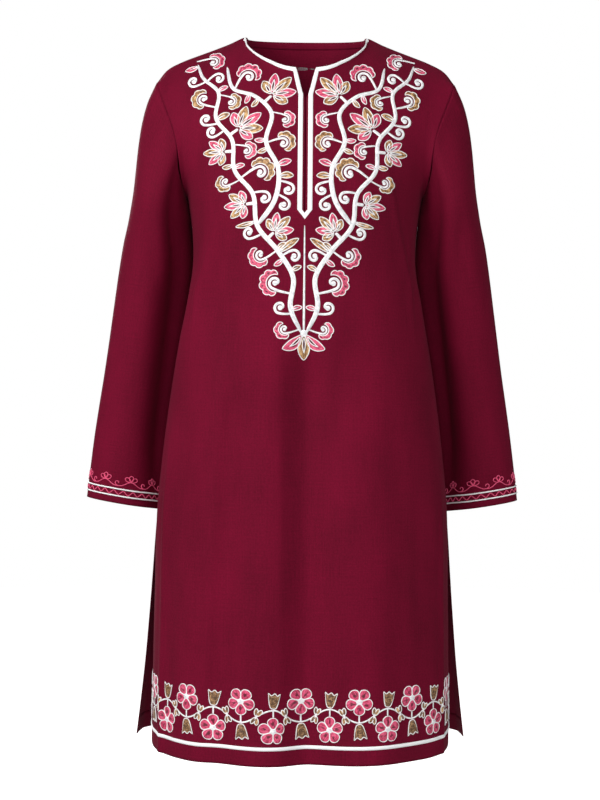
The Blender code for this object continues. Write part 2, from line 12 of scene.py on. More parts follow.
import bmesh
import bpy
import numpy as np
from mathutils import Matrix, Vector
from mathutils.bvhtree import BVHTree


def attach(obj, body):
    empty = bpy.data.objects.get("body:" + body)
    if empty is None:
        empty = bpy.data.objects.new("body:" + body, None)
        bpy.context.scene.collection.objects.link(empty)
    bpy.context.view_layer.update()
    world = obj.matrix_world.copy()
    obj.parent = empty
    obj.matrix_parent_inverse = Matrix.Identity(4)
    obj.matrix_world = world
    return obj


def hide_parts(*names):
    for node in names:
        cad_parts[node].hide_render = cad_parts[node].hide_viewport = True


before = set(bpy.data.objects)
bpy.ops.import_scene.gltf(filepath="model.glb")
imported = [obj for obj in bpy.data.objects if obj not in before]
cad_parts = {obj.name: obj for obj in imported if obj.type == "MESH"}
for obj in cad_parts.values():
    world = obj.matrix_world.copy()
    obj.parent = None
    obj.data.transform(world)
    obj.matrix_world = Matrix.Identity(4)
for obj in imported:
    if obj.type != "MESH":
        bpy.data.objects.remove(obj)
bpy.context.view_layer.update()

# %% [markdown]
# ## Camera
# The camera looks straight at the front from a little over two metres, level with the middle of the
# garment. The tunic leans by half a degree on whatever held it, so the camera is rolled by that much.
# It comes first, because everything later is looked at through it.

# %% Set the camera
EYE = Vector((-0.0040, -2.10, -0.4885))
LENS_MM, SENSOR_MM = 70.4, 36.0
LEAN = math.radians(0.5)

view = bpy.data.cameras.new("view")
view.lens = LENS_MM
view.sensor_width = SENSOR_MM
camera = bpy.data.objects.new("view", view)
camera.location = EYE
camera.rotation_euler = (math.pi / 2, -LEAN, 0.0)
bpy.context.scene.collection.objects.link(camera)
bpy.context.scene.camera = camera

# %% [markdown]
# ## Light
# A studio with a big soft lamp high on the left, weaker ones in front, on the right and behind, and a
# bright white backdrop.
# The backdrop is what the camera sees of the world, while the world's light on the cloth is kept low,
# so that the gaps between sleeve and body go nearly black, as they do between two layers of dark cloth.

# %% Light the studio
Lamp = namedtuple("Lamp", "name place size watts")
LAMPS = [Lamp(*row) for row in (
    ("key", (-1.65, -1.65, 0.70), 1.4, 66.0),
    ("front", (0.2, -3.4, 0.2), 2.0, 37.0),
    ("right", (1.9, -1.6, 0.0), 1.3, 19.0),
    ("back", (-0.9, 2.6, 0.5), 1.6, 60.0),
)]
LIT_PLACE = Vector((0.0, 0.0, -0.5))
AMBIENT = 0.12


def soft_lamp(row):
    """A square soft lamp that points at the middle of the garment."""
    lamp = bpy.data.lights.new(row.name, "AREA")
    lamp.shape = "SQUARE"
    lamp.size = row.size
    lamp.energy = row.watts
    made = bpy.data.objects.new(row.name, lamp)
    made.location = row.place
    made.rotation_euler = (LIT_PLACE - Vector(row.place)).to_track_quat("-Z", "Y").to_euler()
    bpy.context.scene.collection.objects.link(made)


def studio_world():
    """White where the camera looks at it, dim where it lights the cloth."""
    world = bpy.data.worlds.new("studio")
    bpy.context.scene.world = world
    world.use_nodes = True
    nodes, links = world.node_tree.nodes, world.node_tree.links
    nodes.clear()
    out = nodes.new("ShaderNodeOutputWorld")
    choose = nodes.new("ShaderNodeMixShader")
    seen = nodes.new("ShaderNodeBackground")
    lit = nodes.new("ShaderNodeBackground")
    ray = nodes.new("ShaderNodeLightPath")
    seen.inputs["Strength"].default_value = 1.0
    seen.inputs["Color"].default_value = (1.0, 1.0, 1.0, 1.0)
    lit.inputs["Strength"].default_value = AMBIENT
    links.new(ray.outputs["Is Camera Ray"], choose.inputs["Fac"])
    links.new(lit.outputs["Background"], choose.inputs[1])
    links.new(seen.outputs["Background"], choose.inputs[2])
    links.new(choose.outputs["Shader"], out.inputs["Surface"])


for row in LAMPS:
    soft_lamp(row)
studio_world()
bpy.context.scene.view_settings.view_transform = "Standard"


# %% [markdown]
# ## Floor
# A plain pale floor, well below the hem because the garment hangs. Only the camera sees it as white, so
# that it runs into the backdrop with no edge and throws no light up at the cloth.

# %% Lay the floor
FLOOR_Z = -1.45
FLOOR_RADIUS = 6.0


def plain_floor():
    """A flat disc with a pale floor material."""
    shape = bmesh.new()
    bmesh.ops.create_circle(shape, cap_ends=True, segments=64, radius=FLOOR_RADIUS)
    mesh = bpy.data.meshes.new("floor")
    shape.to_mesh(mesh)
    shape.free()
    mesh.transform(Matrix.Translation((0, 0, FLOOR_Z)))
    floor = bpy.data.objects.new("floor", mesh)
    pale = bpy.data.materials.new("pale floor")
    pale.use_nodes = True
    shader = pale.node_tree.nodes["Principled BSDF"]
    shader.inputs["Base Color"].default_value = (0.5, 0.5, 0.5, 1.0)
    shader.inputs["Roughness"].default_value = 0.9
    shader.inputs["Emission Color"].default_value = (1.0, 1.0, 1.0, 1.0)
    ray = pale.node_tree.nodes.new("ShaderNodeLightPath")
    pale.node_tree.links.new(ray.outputs["Is Camera Ray"], shader.inputs["Emission Strength"])
    mesh.materials.append(pale)
    bpy.context.scene.collection.objects.link(floor)


plain_floor()

# %% [markdown]
# ## The cut of the cloth
# A tunic is a front, a back and two sleeves. Filled out, a level section of the body is close to a
# superellipse, and the yoke is a curved patch between the section at the underarms and the line of
# neckline and shoulder. The solid model was drawn by these rules, so repeating them here, with more
# points, gives cloth that lies exactly on it.

# %% Sizes of the cut
HEM_Z, SIDE_SLIT_Z, UNDERARM_Z = -0.9475, -0.623, -0.225
NECK_HALF, NECK_DROP, NECK_CURVE = 0.0825, 0.055, 1.8
BACK_NECK_RISE, RIDGE_Y, NECK_FRONT_Y, NECK_BACK_Y = 0.009, 0.012, -0.064, 0.078
SLIT_HALF_TOP, SLIT_HALF_KNEE, SLIT_KNEE_Z, SLIT_SHUT_Z = 0.012, 0.0034, -0.094, -0.099
SLIT_END_Z, SLIT_SHUT_HALF, SLIT_REACH = -0.2545, 0.0006, 0.045
CLOTH = 0.0006

Ring = namedtuple("Ring", "z front_half front_edge front_y back_half back_edge back_y square")
BODY = [Ring(*row) for row in (
    (HEM_Z, 0.1975, -0.004, -0.138, 0.2240, 0.042, 0.158, 2.55),
    (-0.850, 0.1968, -0.003, -0.134, 0.2120, 0.028, 0.150, 2.50),
    (-0.740, 0.1955, -0.001, -0.130, 0.2020, 0.012, 0.142, 2.45),
    (SIDE_SLIT_Z, 0.1930, 0.002, -0.126, 0.1930, 0.002, 0.134, 2.40),
    (-0.560, 0.1870, 0.003, -0.124, 0.1870, 0.003, 0.129, 2.35),
    (-0.490, 0.1785, 0.004, -0.122, 0.1785, 0.004, 0.123, 2.30),
    (-0.420, 0.1680, 0.005, -0.121, 0.1680, 0.005, 0.112, 2.25),
    (-0.355, 0.1560, 0.006, -0.122, 0.1560, 0.006, 0.102, 2.20),
    (-0.300, 0.1490, 0.008, -0.126, 0.1490, 0.008, 0.100, 2.20),
    (-0.260, 0.1510, 0.010, -0.129, 0.1510, 0.010, 0.105, 2.20),
    (UNDERARM_Z, 0.1565, 0.012, -0.128, 0.1565, 0.012, 0.111, 2.20),
)]
SeamPoint = namedtuple("SeamPoint", "x y z")
SHOULDER = [SeamPoint(*row) for row in (
    (NECK_HALF, RIDGE_Y, 0.0000),
    (0.1120, 0.0110, -0.0130),
    (0.1400, 0.0095, -0.0240),
    (0.1650, 0.0080, -0.0340),
    (0.1850, 0.0065, -0.0450),
    (0.2000, 0.0050, -0.0635),
)]
FRONT_ARMHOLE = [SeamPoint(*row) for row in (
    (0.1565, 0.0112, UNDERARM_Z),
    (0.1605, -0.0190, -0.2130),
    (0.1640, -0.0430, -0.1900),
    (0.1670, -0.0530, -0.1640),
    (0.1720, -0.0520, -0.1390),
    (0.1810, -0.0420, -0.1140),
    (0.1915, -0.0270, -0.0870),
    (0.1985, -0.0100, -0.0665),
    (0.2000, 0.0050, -0.0635),
)]
BACK_ARMHOLE = [SeamPoint(*row) for row in (
    (0.1565, 0.0128, UNDERARM_Z),
    (0.1620, 0.0430, -0.2130),
    (0.1680, 0.0680, -0.1880),
    (0.1725, 0.0780, -0.1600),
    (0.1775, 0.0740, -0.1330),
    (0.1850, 0.0600, -0.1080),
    (0.1935, 0.0390, -0.0820),
    (0.1988, 0.0200, -0.0660),
    (0.2000, 0.0050, -0.0635),
)]

# %% [markdown]
# ## Curves through a few points
# Every line of the cut is a smooth curve through a handful of places. One helper bends a curve through
# them, and another shares its length out evenly.

# %% Curve helpers


def smooth_curve(keys, values, at):
    """Values of the smooth curve through (keys, values), whose keys rise."""
    keys = np.asarray(keys, float)
    values = np.asarray(values, float)
    slopes = np.gradient(values, keys, axis=0)
    at = np.clip(np.atleast_1d(at), keys[0], keys[-1])
    left = np.clip(np.searchsorted(keys, at) - 1, 0, len(keys) - 2)
    shape = (-1,) + (1,) * (values.ndim - 1)
    step = (keys[left + 1] - keys[left]).reshape(shape)
    t = (at - keys[left]).reshape(shape) / step
    return (
        (1 + 2 * t) * (1 - t) ** 2 * values[left]
        + t * (1 - t) ** 2 * step * slopes[left]
        + t * t * (3 - 2 * t) * values[left + 1]
        + t * t * (t - 1) * step * slopes[left + 1]
    )


def run_of(points):
    """How far along a line of points each of them is."""
    return np.r_[0, np.cumsum(np.linalg.norm(np.diff(points, axis=0), axis=1))]


def along(points, shares):
    """Points at the given shares of a smooth line's length."""
    points = np.asarray(points, float)
    lengths = run_of(points)
    return smooth_curve(lengths / lengths[-1], points, shares)


def bridged(h, start, leave, end, arrive):
    """Points a share h of the way along the smooth bridges from start to end."""
    return ((1 + 2 * h) * (1 - h) ** 2 * start + h * (1 - h) ** 2 * leave
            + h * h * (3 - 2 * h) * end + h * h * (h - 1) * arrive)


def fade(value, low, high):
    """0 at low, 1 at high, smooth between."""
    t = np.clip((value - low) / (high - low), 0, 1)
    return t * t * (3 - 2 * t)


def unit(vectors):
    """Vectors of length one."""
    return vectors / np.maximum(np.linalg.norm(vectors, axis=-1, keepdims=True), 1e-12)


# %% [markdown]
# ## Folds
# Cloth that hangs from the shoulders falls in a few long soft folds, which start near the bust or the
# waist and deepen on their way down. Each is a ridge or a trough with its own width, and no two are
# alike. The largest are in the solid model too, and the small ones below are only in the cloth.

# %% Tables of folds
# The height over which a fold grows from its top, and over which it fades below its foot.
FOLD_GROWS, FOLD_FADES = 0.12, 0.10
Fold = namedtuple("Fold", "face across_top z_top across_low z_low left right depth")
FOLDS = [Fold(*row) for row in (
    ("front", -0.122, -0.225, -0.185, -0.390, 0.020, 0.020, 0.0035),
    ("front", 0.132, -0.225, 0.185, -0.370, 0.020, 0.020, 0.0035),
    ("front", -0.022, -0.400, -0.018, HEM_Z, 0.030, 0.030, -0.0050),
    ("front", -0.050, -0.480, -0.060, HEM_Z, 0.026, 0.026, 0.0030),
    ("front", -0.086, -0.420, -0.130, HEM_Z, 0.028, 0.028, -0.0035),
    ("front", 0.050, -0.450, 0.062, HEM_Z, 0.040, 0.040, 0.0040),
    ("front", 0.145, -0.520, 0.152, HEM_Z, 0.024, 0.024, -0.0030),
    ("back", 0.010, -0.330, 0.020, HEM_Z, 0.034, 0.034, 0.0050),
    ("back", -0.070, -0.380, -0.095, HEM_Z, 0.032, 0.032, -0.0045),
    ("back", 0.085, -0.400, 0.110, HEM_Z, 0.036, 0.036, -0.0040),
    ("back", -0.150, -0.480, -0.180, HEM_Z, 0.030, 0.030, 0.0040),
)]
SMALL_FOLDS = [Fold(*row) for row in (
    ("front", -0.036, -0.350, -0.030, HEM_Z, 0.050, 0.025, 0.0145),
    ("front", 0.006, -0.360, 0.012, HEM_Z, 0.020, 0.065, -0.0090),
    ("front", -0.106, -0.380, -0.130, HEM_Z, 0.030, 0.018, 0.0090),
    ("front", 0.086, -0.420, 0.094, HEM_Z, 0.060, 0.034, 0.0060),
    ("front", -0.074, -0.135, -0.162, -0.350, 0.003, 0.010, 0.0024),
    ("front", 0.090, -0.135, 0.160, -0.335, 0.010, 0.003, 0.0024),
    ("front", -0.196, -0.520, -0.200, HEM_Z, 0.007, 0.004, 0.0030),
    ("front", 0.204, -0.560, 0.206, HEM_Z, 0.004, 0.007, 0.0026),
    ("front", -0.060, -0.330, -0.075, -0.620, 0.010, 0.014, 0.0008),
    ("front", 0.055, -0.300, 0.020, -0.560, 0.016, 0.010, 0.0012),
    ("front", 0.140, -0.480, 0.150, -0.900, 0.012, 0.012, 0.0014),
    ("front", -0.170, -0.430, -0.182, -0.900, 0.014, 0.010, -0.0014),
    ("back", 0.012, -0.330, 0.024, HEM_Z, 0.018, 0.040, 0.0070),
    ("back", 0.040, -0.290, 0.052, -0.600, 0.012, 0.009, 0.0008),
    ("back", -0.110, -0.380, -0.135, HEM_Z, 0.016, 0.034, 0.0048),
    ("back", -0.030, -0.350, -0.035, -0.700, 0.010, 0.013, -0.0007),
    ("back", -0.235, -0.660, -0.245, HEM_Z, 0.008, 0.008, 0.0015),
    ("back", 0.235, -0.660, 0.245, HEM_Z, 0.008, 0.008, 0.0015),
)]


def fold_height(folds, face, across, z):
    """How far the folds lift the cloth at signed distances from the panel's middle."""
    lift = np.zeros_like(across)
    for fold in folds:
        if fold.face != face or z > fold.z_top:
            continue
        down = min(1.0, (fold.z_top - z) / (fold.z_top - fold.z_low))
        place = fold.across_top + (fold.across_low - fold.across_top) * down
        grown = fade(fold.z_top - z, 0.0, FOLD_GROWS)
        if z < fold.z_low:
            grown *= 1 - fade(fold.z_low - z, 0.0, FOLD_FADES)
        width = np.where(across < place, fold.left, fold.right)
        lift += fold.depth * grown * np.exp(-(((across - place) / width) ** 2))
    return lift


# %% [markdown]
# ## The body's surface
# `level_row` gives points along a level section, and `yoke` the rows above the underarms. Both fill a
# loose grid, which `fine_grid` then divides into squares of about four millimetres with smooth curves
# in both directions.

# %% Points of a panel
COLUMNS, NECK_COLUMNS, YOKE_ROWS, EVEN_PASSES = 11, 5, 10, 8
FINE_COLUMNS, FINE_ROWS = 64, 250
CORNER_RISE, CORNER_REACH, CORNER_SHAPE = 0.013, 0.16, 6.0
GUIDE_STEP, LEAVE_PULL, ARRIVE_PULL, SIDE_FLAT = 0.004, 0.95, 0.80, 0.9


def ring_at(z):
    """The body's section at one height, as a Ring."""
    rows = sorted(BODY)
    keys = [row.z for row in rows]
    return Ring(*(float(smooth_curve(keys, [row[i] for row in rows], z)[0])
                  for i in range(len(Ring._fields))))


def half_section(face, z):
    """(points, lengths) of the right half of a level section, from the middle to the side."""
    ring = ring_at(z)
    half, edge, reach = ((ring.front_half, ring.front_edge, ring.front_y) if face == "front"
                         else (ring.back_half, ring.back_edge, ring.back_y))
    turn = np.linspace(0, math.pi / 2, 121)
    power = 2 / ring.square
    x = half * np.sin(turn) ** power
    y = edge + (reach - edge) * np.clip(np.cos(turn), 0, 1) ** power
    points = np.stack([x, y], axis=1)
    return points, run_of(points)


def level_row(face, z, shares):
    """One level row of points across a panel, for signed shares from -1 to 1."""
    points, lengths = half_section(face, z)
    distance = np.abs(shares) * lengths[-1]
    tangent = np.gradient(points, lengths, axis=0)
    x, tx = (np.interp(distance, lengths, column[:, 0]) for column in (points, tangent))
    y, ty = (np.interp(distance, lengths, column[:, 1]) for column in (points, tangent))
    outward = np.stack([ty, -tx], axis=1) if face == "front" else np.stack([-ty, tx], axis=1)
    edge = 1 - fade(np.abs(shares), SIDE_FLAT, 1.0)
    lift = fold_height(FOLDS, face, np.sign(shares) * distance, z) * edge
    x = (x + lift * outward[:, 0]) * np.where(shares < 0, -1, 1)
    x[distance < 1e-6] = 0.0
    return np.stack([x, y + lift * outward[:, 1], np.full_like(x, z)], axis=1)


def top_row(face, shares):
    """The panel's upper edge for shares 0 to 1: neckline, then shoulder seam."""
    neck_share = NECK_COLUMNS / COLUMNS
    x = NECK_HALF * np.sin(np.clip(shares / neck_share, 0, 1) * math.pi / 2)
    rest = np.clip(1 - (x / NECK_HALF) ** 2, 0, 1)
    if face == "front":
        z = -NECK_DROP * np.clip(1 - (x / NECK_HALF) ** NECK_CURVE, 0, 1) ** (1 / NECK_CURVE)
        y = RIDGE_Y + (NECK_FRONT_Y - RIDGE_Y) * rest ** 0.5
    else:
        z = BACK_NECK_RISE * rest ** 0.7
        y = RIDGE_Y + (NECK_BACK_Y - RIDGE_Y) * rest ** 0.5
    neckline = np.stack([x, y, z], axis=1)
    seam = along(SHOULDER, np.clip((shares - neck_share) / (1 - neck_share), 0, 1))
    return np.where((shares <= neck_share)[:, None], neckline, seam)


def yoke(face, shares, heights):
    """Rows of points above the underarm, for shares 0 to 1 and heights 0 to 1."""
    low = level_row(face, UNDERARM_Z, shares)
    guide = level_row(face, UNDERARM_Z - GUIDE_STEP, shares)
    high = top_row(face, shares)
    chord = np.linalg.norm(high - low, axis=1)[:, None]
    flat = fade(shares, 0.0, 1.6 * NECK_COLUMNS / COLUMNS)[:, None]
    back_way = 1.0 if face == "front" else -1.0
    at_neck = np.array([0.0, 0.52, 0.85]) if face == "front" else np.array([0.0, -0.55, 0.80])
    at_seam = np.array([0.0, 0.98 * back_way, 0.06])
    leave = (low - guide) / GUIDE_STEP * chord * LEAVE_PULL
    arrive = ((1 - flat) * at_neck + flat * at_seam) * chord * ARRIVE_PULL
    armhole = FRONT_ARMHOLE if face == "front" else BACK_ARMHOLE
    rows = []
    for h in heights:
        row = bridged(h, low, leave, high, arrive)
        rows.append(row + shares[:, None] ** 2.5 * (along(armhole, [h])[0] - row[-1]))
    return relaxed([guide] + rows + [high])


def relaxed(rows):
    """The rows with their inner points evened out, less the first row, which only guides."""
    grid = np.array(rows)
    mirror = np.array([-1.0, 1.0, 1.0])
    for _ in range(EVEN_PASSES):
        wide = np.concatenate([grid[:, 1:2] * mirror, grid], axis=1)
        across = (wide[1:-1, :-2] + wide[1:-1, 2:]) / 2
        upright = (grid[:-2, :-1] + grid[2:, :-1]) / 2
        grid[2:-1, :-1] += 0.5 * ((across + upright) / 2 - grid[1:-1, :-1])[1:]
    return grid[1:]


def loose_grid(face):
    """A panel's loose grid from side to side and from hem to brim, and its rows' keys."""
    shares = np.linspace(0, 1, COLUMNS + 1)
    whole = np.r_[-shares[:0:-1], shares]
    levels = np.r_[np.linspace(HEM_Z, SIDE_SLIT_Z, 7)[:-1], np.linspace(SIDE_SLIT_Z, SLIT_END_Z, 8)]
    lower = np.array([level_row(face, z, whole) for z in levels])
    heights = np.linspace(0, 1, YOKE_ROWS + 1)[:-1]
    right = yoke(face, shares, heights)
    upper = np.concatenate([right[:, :0:-1] * np.array([-1.0, 1.0, 1.0]), right], axis=1)
    middle_way = np.linalg.norm(np.diff(right[:, COLUMNS // 2], axis=0), axis=1)
    keys = np.r_[levels, UNDERARM_Z, UNDERARM_Z + np.cumsum(middle_way)]
    return np.concatenate([lower, upper]), keys


def fine_grid(face):
    """A panel's fine grid, with the small folds added."""
    loose, keys = loose_grid(face)
    shares = np.linspace(-1, 1, 2 * FINE_COLUMNS + 1)
    rows = smooth_curve(keys, loose, np.linspace(keys[0], keys[-1], FINE_ROWS))
    grid = smooth_curve(np.linspace(-1, 1, 2 * COLUMNS + 1), rows.transpose(1, 0, 2), shares)
    grid = grid.transpose(1, 0, 2)
    out = outward_of(grid) * (1.0 if face == "front" else -1.0)
    steps = np.linalg.norm(np.diff(grid, axis=1), axis=2)
    across = np.concatenate([np.zeros((len(grid), 1)), np.cumsum(steps, axis=1)], axis=1)
    across -= across[:, FINE_COLUMNS:FINE_COLUMNS + 1]
    for i in range(len(grid)):
        lift = fold_height(SMALL_FOLDS, face, across[i], grid[i, FINE_COLUMNS, 2])
        grid[i] += out[i] * lift[:, None]
    if face == "front":
        low = 1 - fade(grid[:, :, 2], HEM_Z, HEM_Z + CORNER_REACH)
        grid[:, :, 2] += CORNER_RISE * low * np.abs(shares) ** CORNER_SHAPE
    return grid, across


def outward_of(grid):
    """Normals of a grid whose rows rise and whose columns go to the right."""
    right = np.gradient(grid, axis=1)
    up = np.gradient(grid, axis=0)
    return unit(np.cross(right, up))


front_grid, front_across = fine_grid("front")
back_grid, back_across = fine_grid("back")
print("front panel: rows of", front_grid.shape[1], "points,", front_grid.shape[0], "rows")

# %% [markdown]
# ## Sleeves
# A sleeve is a tube. Its upper edge is the armhole, its cap turns from there into the arm, and the arm
# hangs down and a little back to a straight cuff.

# %% Points of a sleeve
SleeveRing = namedtuple("SleeveRing", "x y z half_width half_depth tilt")
SLEEVE = [SleeveRing(*row) for row in (
    (0.1949, 0.0120, -0.2480, 0.0413, 0.0610, 12.0),
    (0.1993, 0.0240, -0.3000, 0.0487, 0.0540, 11.0),
    (0.2077, 0.0370, -0.3600, 0.0503, 0.0490, 10.0),
    (0.2220, 0.0540, -0.4550, 0.0510, 0.0440, 9.0),
    (0.2360, 0.0650, -0.5500, 0.0525, 0.0405, 9.0),
    (0.2452, 0.0700, -0.6327, 0.0535, 0.0380, 9.0),
)]
CAP_OUT, CAP_DOWN = np.array([0.50, 0.0, -0.86]), np.array([0.05, 0.0, -1.0])
AROUND, CAP_ROWS, ARM_ROWS = 20, 6, 9
FINE_AROUND, FINE_LENGTH = 84, 150
SEAM_GAP = 0.0005

# Soft folds of a sleeve: where round it (0 is the inside, 0.25 the front, 0.5 the outside), from which
# height to which, how wide in turns, and how deep.
ArmFold = namedtuple("ArmFold", "sleeve turn_top z_top turn_low z_low width depth")
ARM_FOLDS = [ArmFold(*row) for row in (
    ("right", 0.97, -0.125, 0.97, -0.250, 0.10, 0.0036),
    ("right", 0.97, -0.180, 0.97, -0.450, 0.10, 0.0036),
    ("right", 0.17, -0.115, 0.14, -0.330, 0.050, -0.0060),
    ("right", 0.30, -0.230, 0.24, -0.345, 0.040, -0.0040),
    ("right", 0.12, -0.160, 0.09, -0.690, 0.080, -0.0165),
    ("right", 0.27, -0.190, 0.25, -0.480, 0.040, 0.0020),
    ("right", 0.40, -0.360, 0.33, -0.620, 0.060, -0.0024),
    ("right", 0.75, -0.270, 0.66, -0.600, 0.070, -0.0040),
    ("left", 0.97, -0.125, 0.97, -0.250, 0.10, 0.0036),
    ("left", 0.97, -0.180, 0.97, -0.450, 0.10, 0.0036),
    ("left", 0.17, -0.115, 0.14, -0.330, 0.050, -0.0050),
    ("left", 0.31, -0.230, 0.24, -0.360, 0.040, -0.0032),
    ("left", 0.12, -0.160, 0.09, -0.700, 0.080, -0.0175),
    ("left", 0.37, -0.380, 0.42, -0.620, 0.060, -0.0026),
    ("left", 0.70, -0.300, 0.78, -0.580, 0.070, -0.0036),
)]


def armhole_ring():
    """Points round the armhole from the underarm, up the front and down the back."""
    shares = np.linspace(0, 1, AROUND // 2 + 1)
    return np.concatenate([along(FRONT_ARMHOLE, shares), along(BACK_ARMHOLE, shares)[::-1][1:-1]])


def sleeve_ring(row):
    """One level of the sleeve below the cap, in the armhole ring's order."""
    turn = np.arange(AROUND) * 2 * math.pi / AROUND
    across = -np.cos(turn) * row.half_width
    tip = math.radians(row.tilt)
    return np.stack([row.x + across * math.cos(tip), row.y - np.sin(turn) * row.half_depth,
                     row.z + across * math.sin(tip)], axis=1)


def sleeve_rows():
    """Rings of the loose grid, from the armhole to the cuff."""
    keys = [-row.z for row in SLEEVE]
    table = np.array(SLEEVE)
    start, biceps = armhole_ring(), sleeve_ring(SLEEVE[0])
    chord = np.linalg.norm(biceps - start, axis=1)[:, None]
    turn = np.arange(AROUND) * 2 * math.pi / AROUND
    upper = (0.5 - 0.5 * np.cos(turn))[:, None]
    leave = (upper * CAP_OUT + (1 - upper) * CAP_DOWN) * chord
    below = sleeve_ring(SleeveRing(*smooth_curve(keys, table, keys[0] + 0.01)[0]))
    arrive = unit(below - biceps) * chord
    rows = [bridged(h, start, leave, biceps, arrive) for h in np.linspace(0, 1, CAP_ROWS + 1)]
    rows[0] = rows[0] + unit(rows[1] - rows[0]) * SEAM_GAP
    for depth in np.linspace(keys[0], keys[-1], ARM_ROWS + 1)[1:]:
        rows.append(sleeve_ring(SleeveRing(*smooth_curve(keys, table, depth)[0])))
    return np.array(rows)


def fine_sleeve(name, side):
    """The fine grid of a sleeve, whose last column meets its first, with its soft folds."""
    rows = sleeve_rows()
    steps = np.linalg.norm(np.diff(rows, axis=0), axis=2).mean(axis=1)
    keys = np.r_[0, np.cumsum(steps)]
    rows = smooth_curve(keys, rows, np.linspace(0, keys[-1], FINE_LENGTH))
    wrapped = np.concatenate([rows[:, -3:], rows, rows[:, :4]], axis=1).transpose(1, 0, 2)
    places = np.linspace(0, 1, FINE_AROUND + 1)
    grid = smooth_curve(np.arange(-3, AROUND + 4) / AROUND, wrapped, places).transpose(1, 0, 2)
    out = -outward_of(grid)
    heights = grid[:, :, 2].mean(axis=1)
    for fold in ARM_FOLDS:
        if fold.sleeve != name:
            continue
        down = np.clip((fold.z_top - heights) / (fold.z_top - fold.z_low), 0, 1)
        place = fold.turn_top + (fold.turn_low - fold.turn_top) * down
        grown = fade(down, 0.0, 0.35) * (1 - fade(down, 0.65, 1.0))
        away = (places[None, :] - place[:, None] + 0.5) % 1.0 - 0.5
        grid += out * (fold.depth * grown[:, None] * np.exp(-((away / fold.width) ** 2)))[:, :, None]
    grid[:, -1] = grid[:, 0]
    return grid * np.array([side, 1.0, 1.0])


sleeve_grids = {"left": fine_sleeve("left", 1.0), "right": fine_sleeve("right", -1.0)}
print("sleeves: rings of", FINE_AROUND, "points,", FINE_LENGTH, "rings")

# %% [markdown]
# ## From points to cloth
# A grid becomes a mesh of squares with a UV map in metres, across the cloth and along it, so that the
# weave keeps its size and follows the cloth round. The wall comes from a Solidify modifier.

# %% Mesh helpers


def squares(rows, columns, start):
    """The faces between the points of a grid, numbered from start."""
    index = np.arange(rows * columns).reshape(rows, columns) + start
    quads = np.stack([index[:-1, :-1], index[:-1, 1:], index[1:, 1:], index[1:, :-1]], axis=-1)
    return quads.reshape(-1, 4)


def smooth_mesh(name, points, faces, uvs):
    """A smooth mesh, with a UV map for each label in uvs."""
    mesh = bpy.data.meshes.new(name)
    mesh.from_pydata(points, [], faces)
    order = np.empty(len(mesh.loops), int)
    mesh.loops.foreach_get("vertex_index", order)
    for label, places in uvs.items():
        mesh.uv_layers.new(name=label).data.foreach_set("uv", np.array(places, float)[order].ravel())
    mesh.polygons.foreach_set("use_smooth", [True] * len(mesh.polygons))
    return mesh


WELD = 1e-5


def grid_mesh(name, grids, uvs, flip=False, label="cloth"):
    """One mesh through grids of points. Points that two grids share are welded."""
    points, faces, corners = [], [], []
    for grid, uv in zip(grids, uvs):
        quads = squares(*grid.shape[:2], len(points))
        points.extend(grid.reshape(-1, 3).tolist())
        corners.extend(uv.reshape(-1, 2).tolist())
        faces.extend((quads[:, ::-1] if flip else quads).tolist())
    mesh = smooth_mesh(name, points, faces, {label: corners})
    weld = bmesh.new()
    weld.from_mesh(mesh)
    bmesh.ops.remove_doubles(weld, verts=weld.verts, dist=WELD)
    weld.to_mesh(mesh)
    weld.free()
    return mesh


def show(name, mesh, finish, node=None, wall=0.0):
    """Puts a piece in the scene, riding on the garment and standing for its CAD node."""
    piece = bpy.data.objects.new(name, mesh)
    mesh.materials.clear()
    mesh.materials.append(finish)
    bpy.context.scene.collection.objects.link(piece)
    if wall:
        solid = piece.modifiers.new("wall", "SOLIDIFY")
        solid.thickness, solid.offset, solid.use_even_offset = wall, -1.0, True
    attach(piece, "root")
    if node:
        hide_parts(node)
    return piece


# %% [markdown]
# ## Shader helpers
# Each finish is a node tree. `add` makes one node, and takes a number or another node's socket for each
# input, so that a tree reads from top to bottom.

# %% Node helpers


def add(tree, kind, inputs=None, **settings):
    """A node with its settings made and its inputs filled or linked."""
    made = tree.nodes.new(kind)
    for key, value in settings.items():
        setattr(made, key, value)
    for key, value in (inputs or {}).items():
        if isinstance(value, bpy.types.NodeSocket):
            tree.links.new(value, made.inputs[key])
        else:
            made.inputs[key].default_value = value
    return made


def reckon(tree, operation, first, second=0.0, third=0.0):
    """The result socket of a Math node."""
    return add(tree, "ShaderNodeMath", {0: first, 1: second, 2: third}, operation=operation).outputs[0]


def new_group(name, inputs, outputs):
    """An empty shader group with named sockets: (name, type, default) in, (name, type) out."""
    group = bpy.data.node_groups.new(name, "ShaderNodeTree")
    for label, kind, default in inputs:
        socket = group.interface.new_socket(label, in_out="INPUT", socket_type=kind)
        if default is not None:
            socket.default_value = default
    for label, kind in outputs:
        group.interface.new_socket(label, in_out="OUTPUT", socket_type=kind)
    return group, group.nodes.new("NodeGroupInput"), group.nodes.new("NodeGroupOutput")


def new_finish(name, colour, **plain):
    """A material, its tree and its Principled BSDF, with plain sockets set."""
    finish = bpy.data.materials.new(name)
    finish.use_nodes = True
    finish.diffuse_color = colour
    shader = finish.node_tree.nodes["Principled BSDF"]
    shader.inputs["Base Color"].default_value = colour
    for label, value in plain.items():
        shader.inputs[label.replace("_", " ").title().replace("Ior", "IOR")].default_value = value
    return finish, finish.node_tree, shader


# %% [markdown]
# ## Weave
# The tunic is a plain weave of fine yarns. Up close each crossing is a small bump. From further off
# what shows is that no yarn is even: thick and thin stretches make faint streaks both ways, the nap is
# finely flecked, and the dye is a little cloudy. The group gives a height for the bumps and a tint for
# the rest to any cloth that asks for it.

# %% Build the weave group
FLOAT = "NodeSocketFloat"


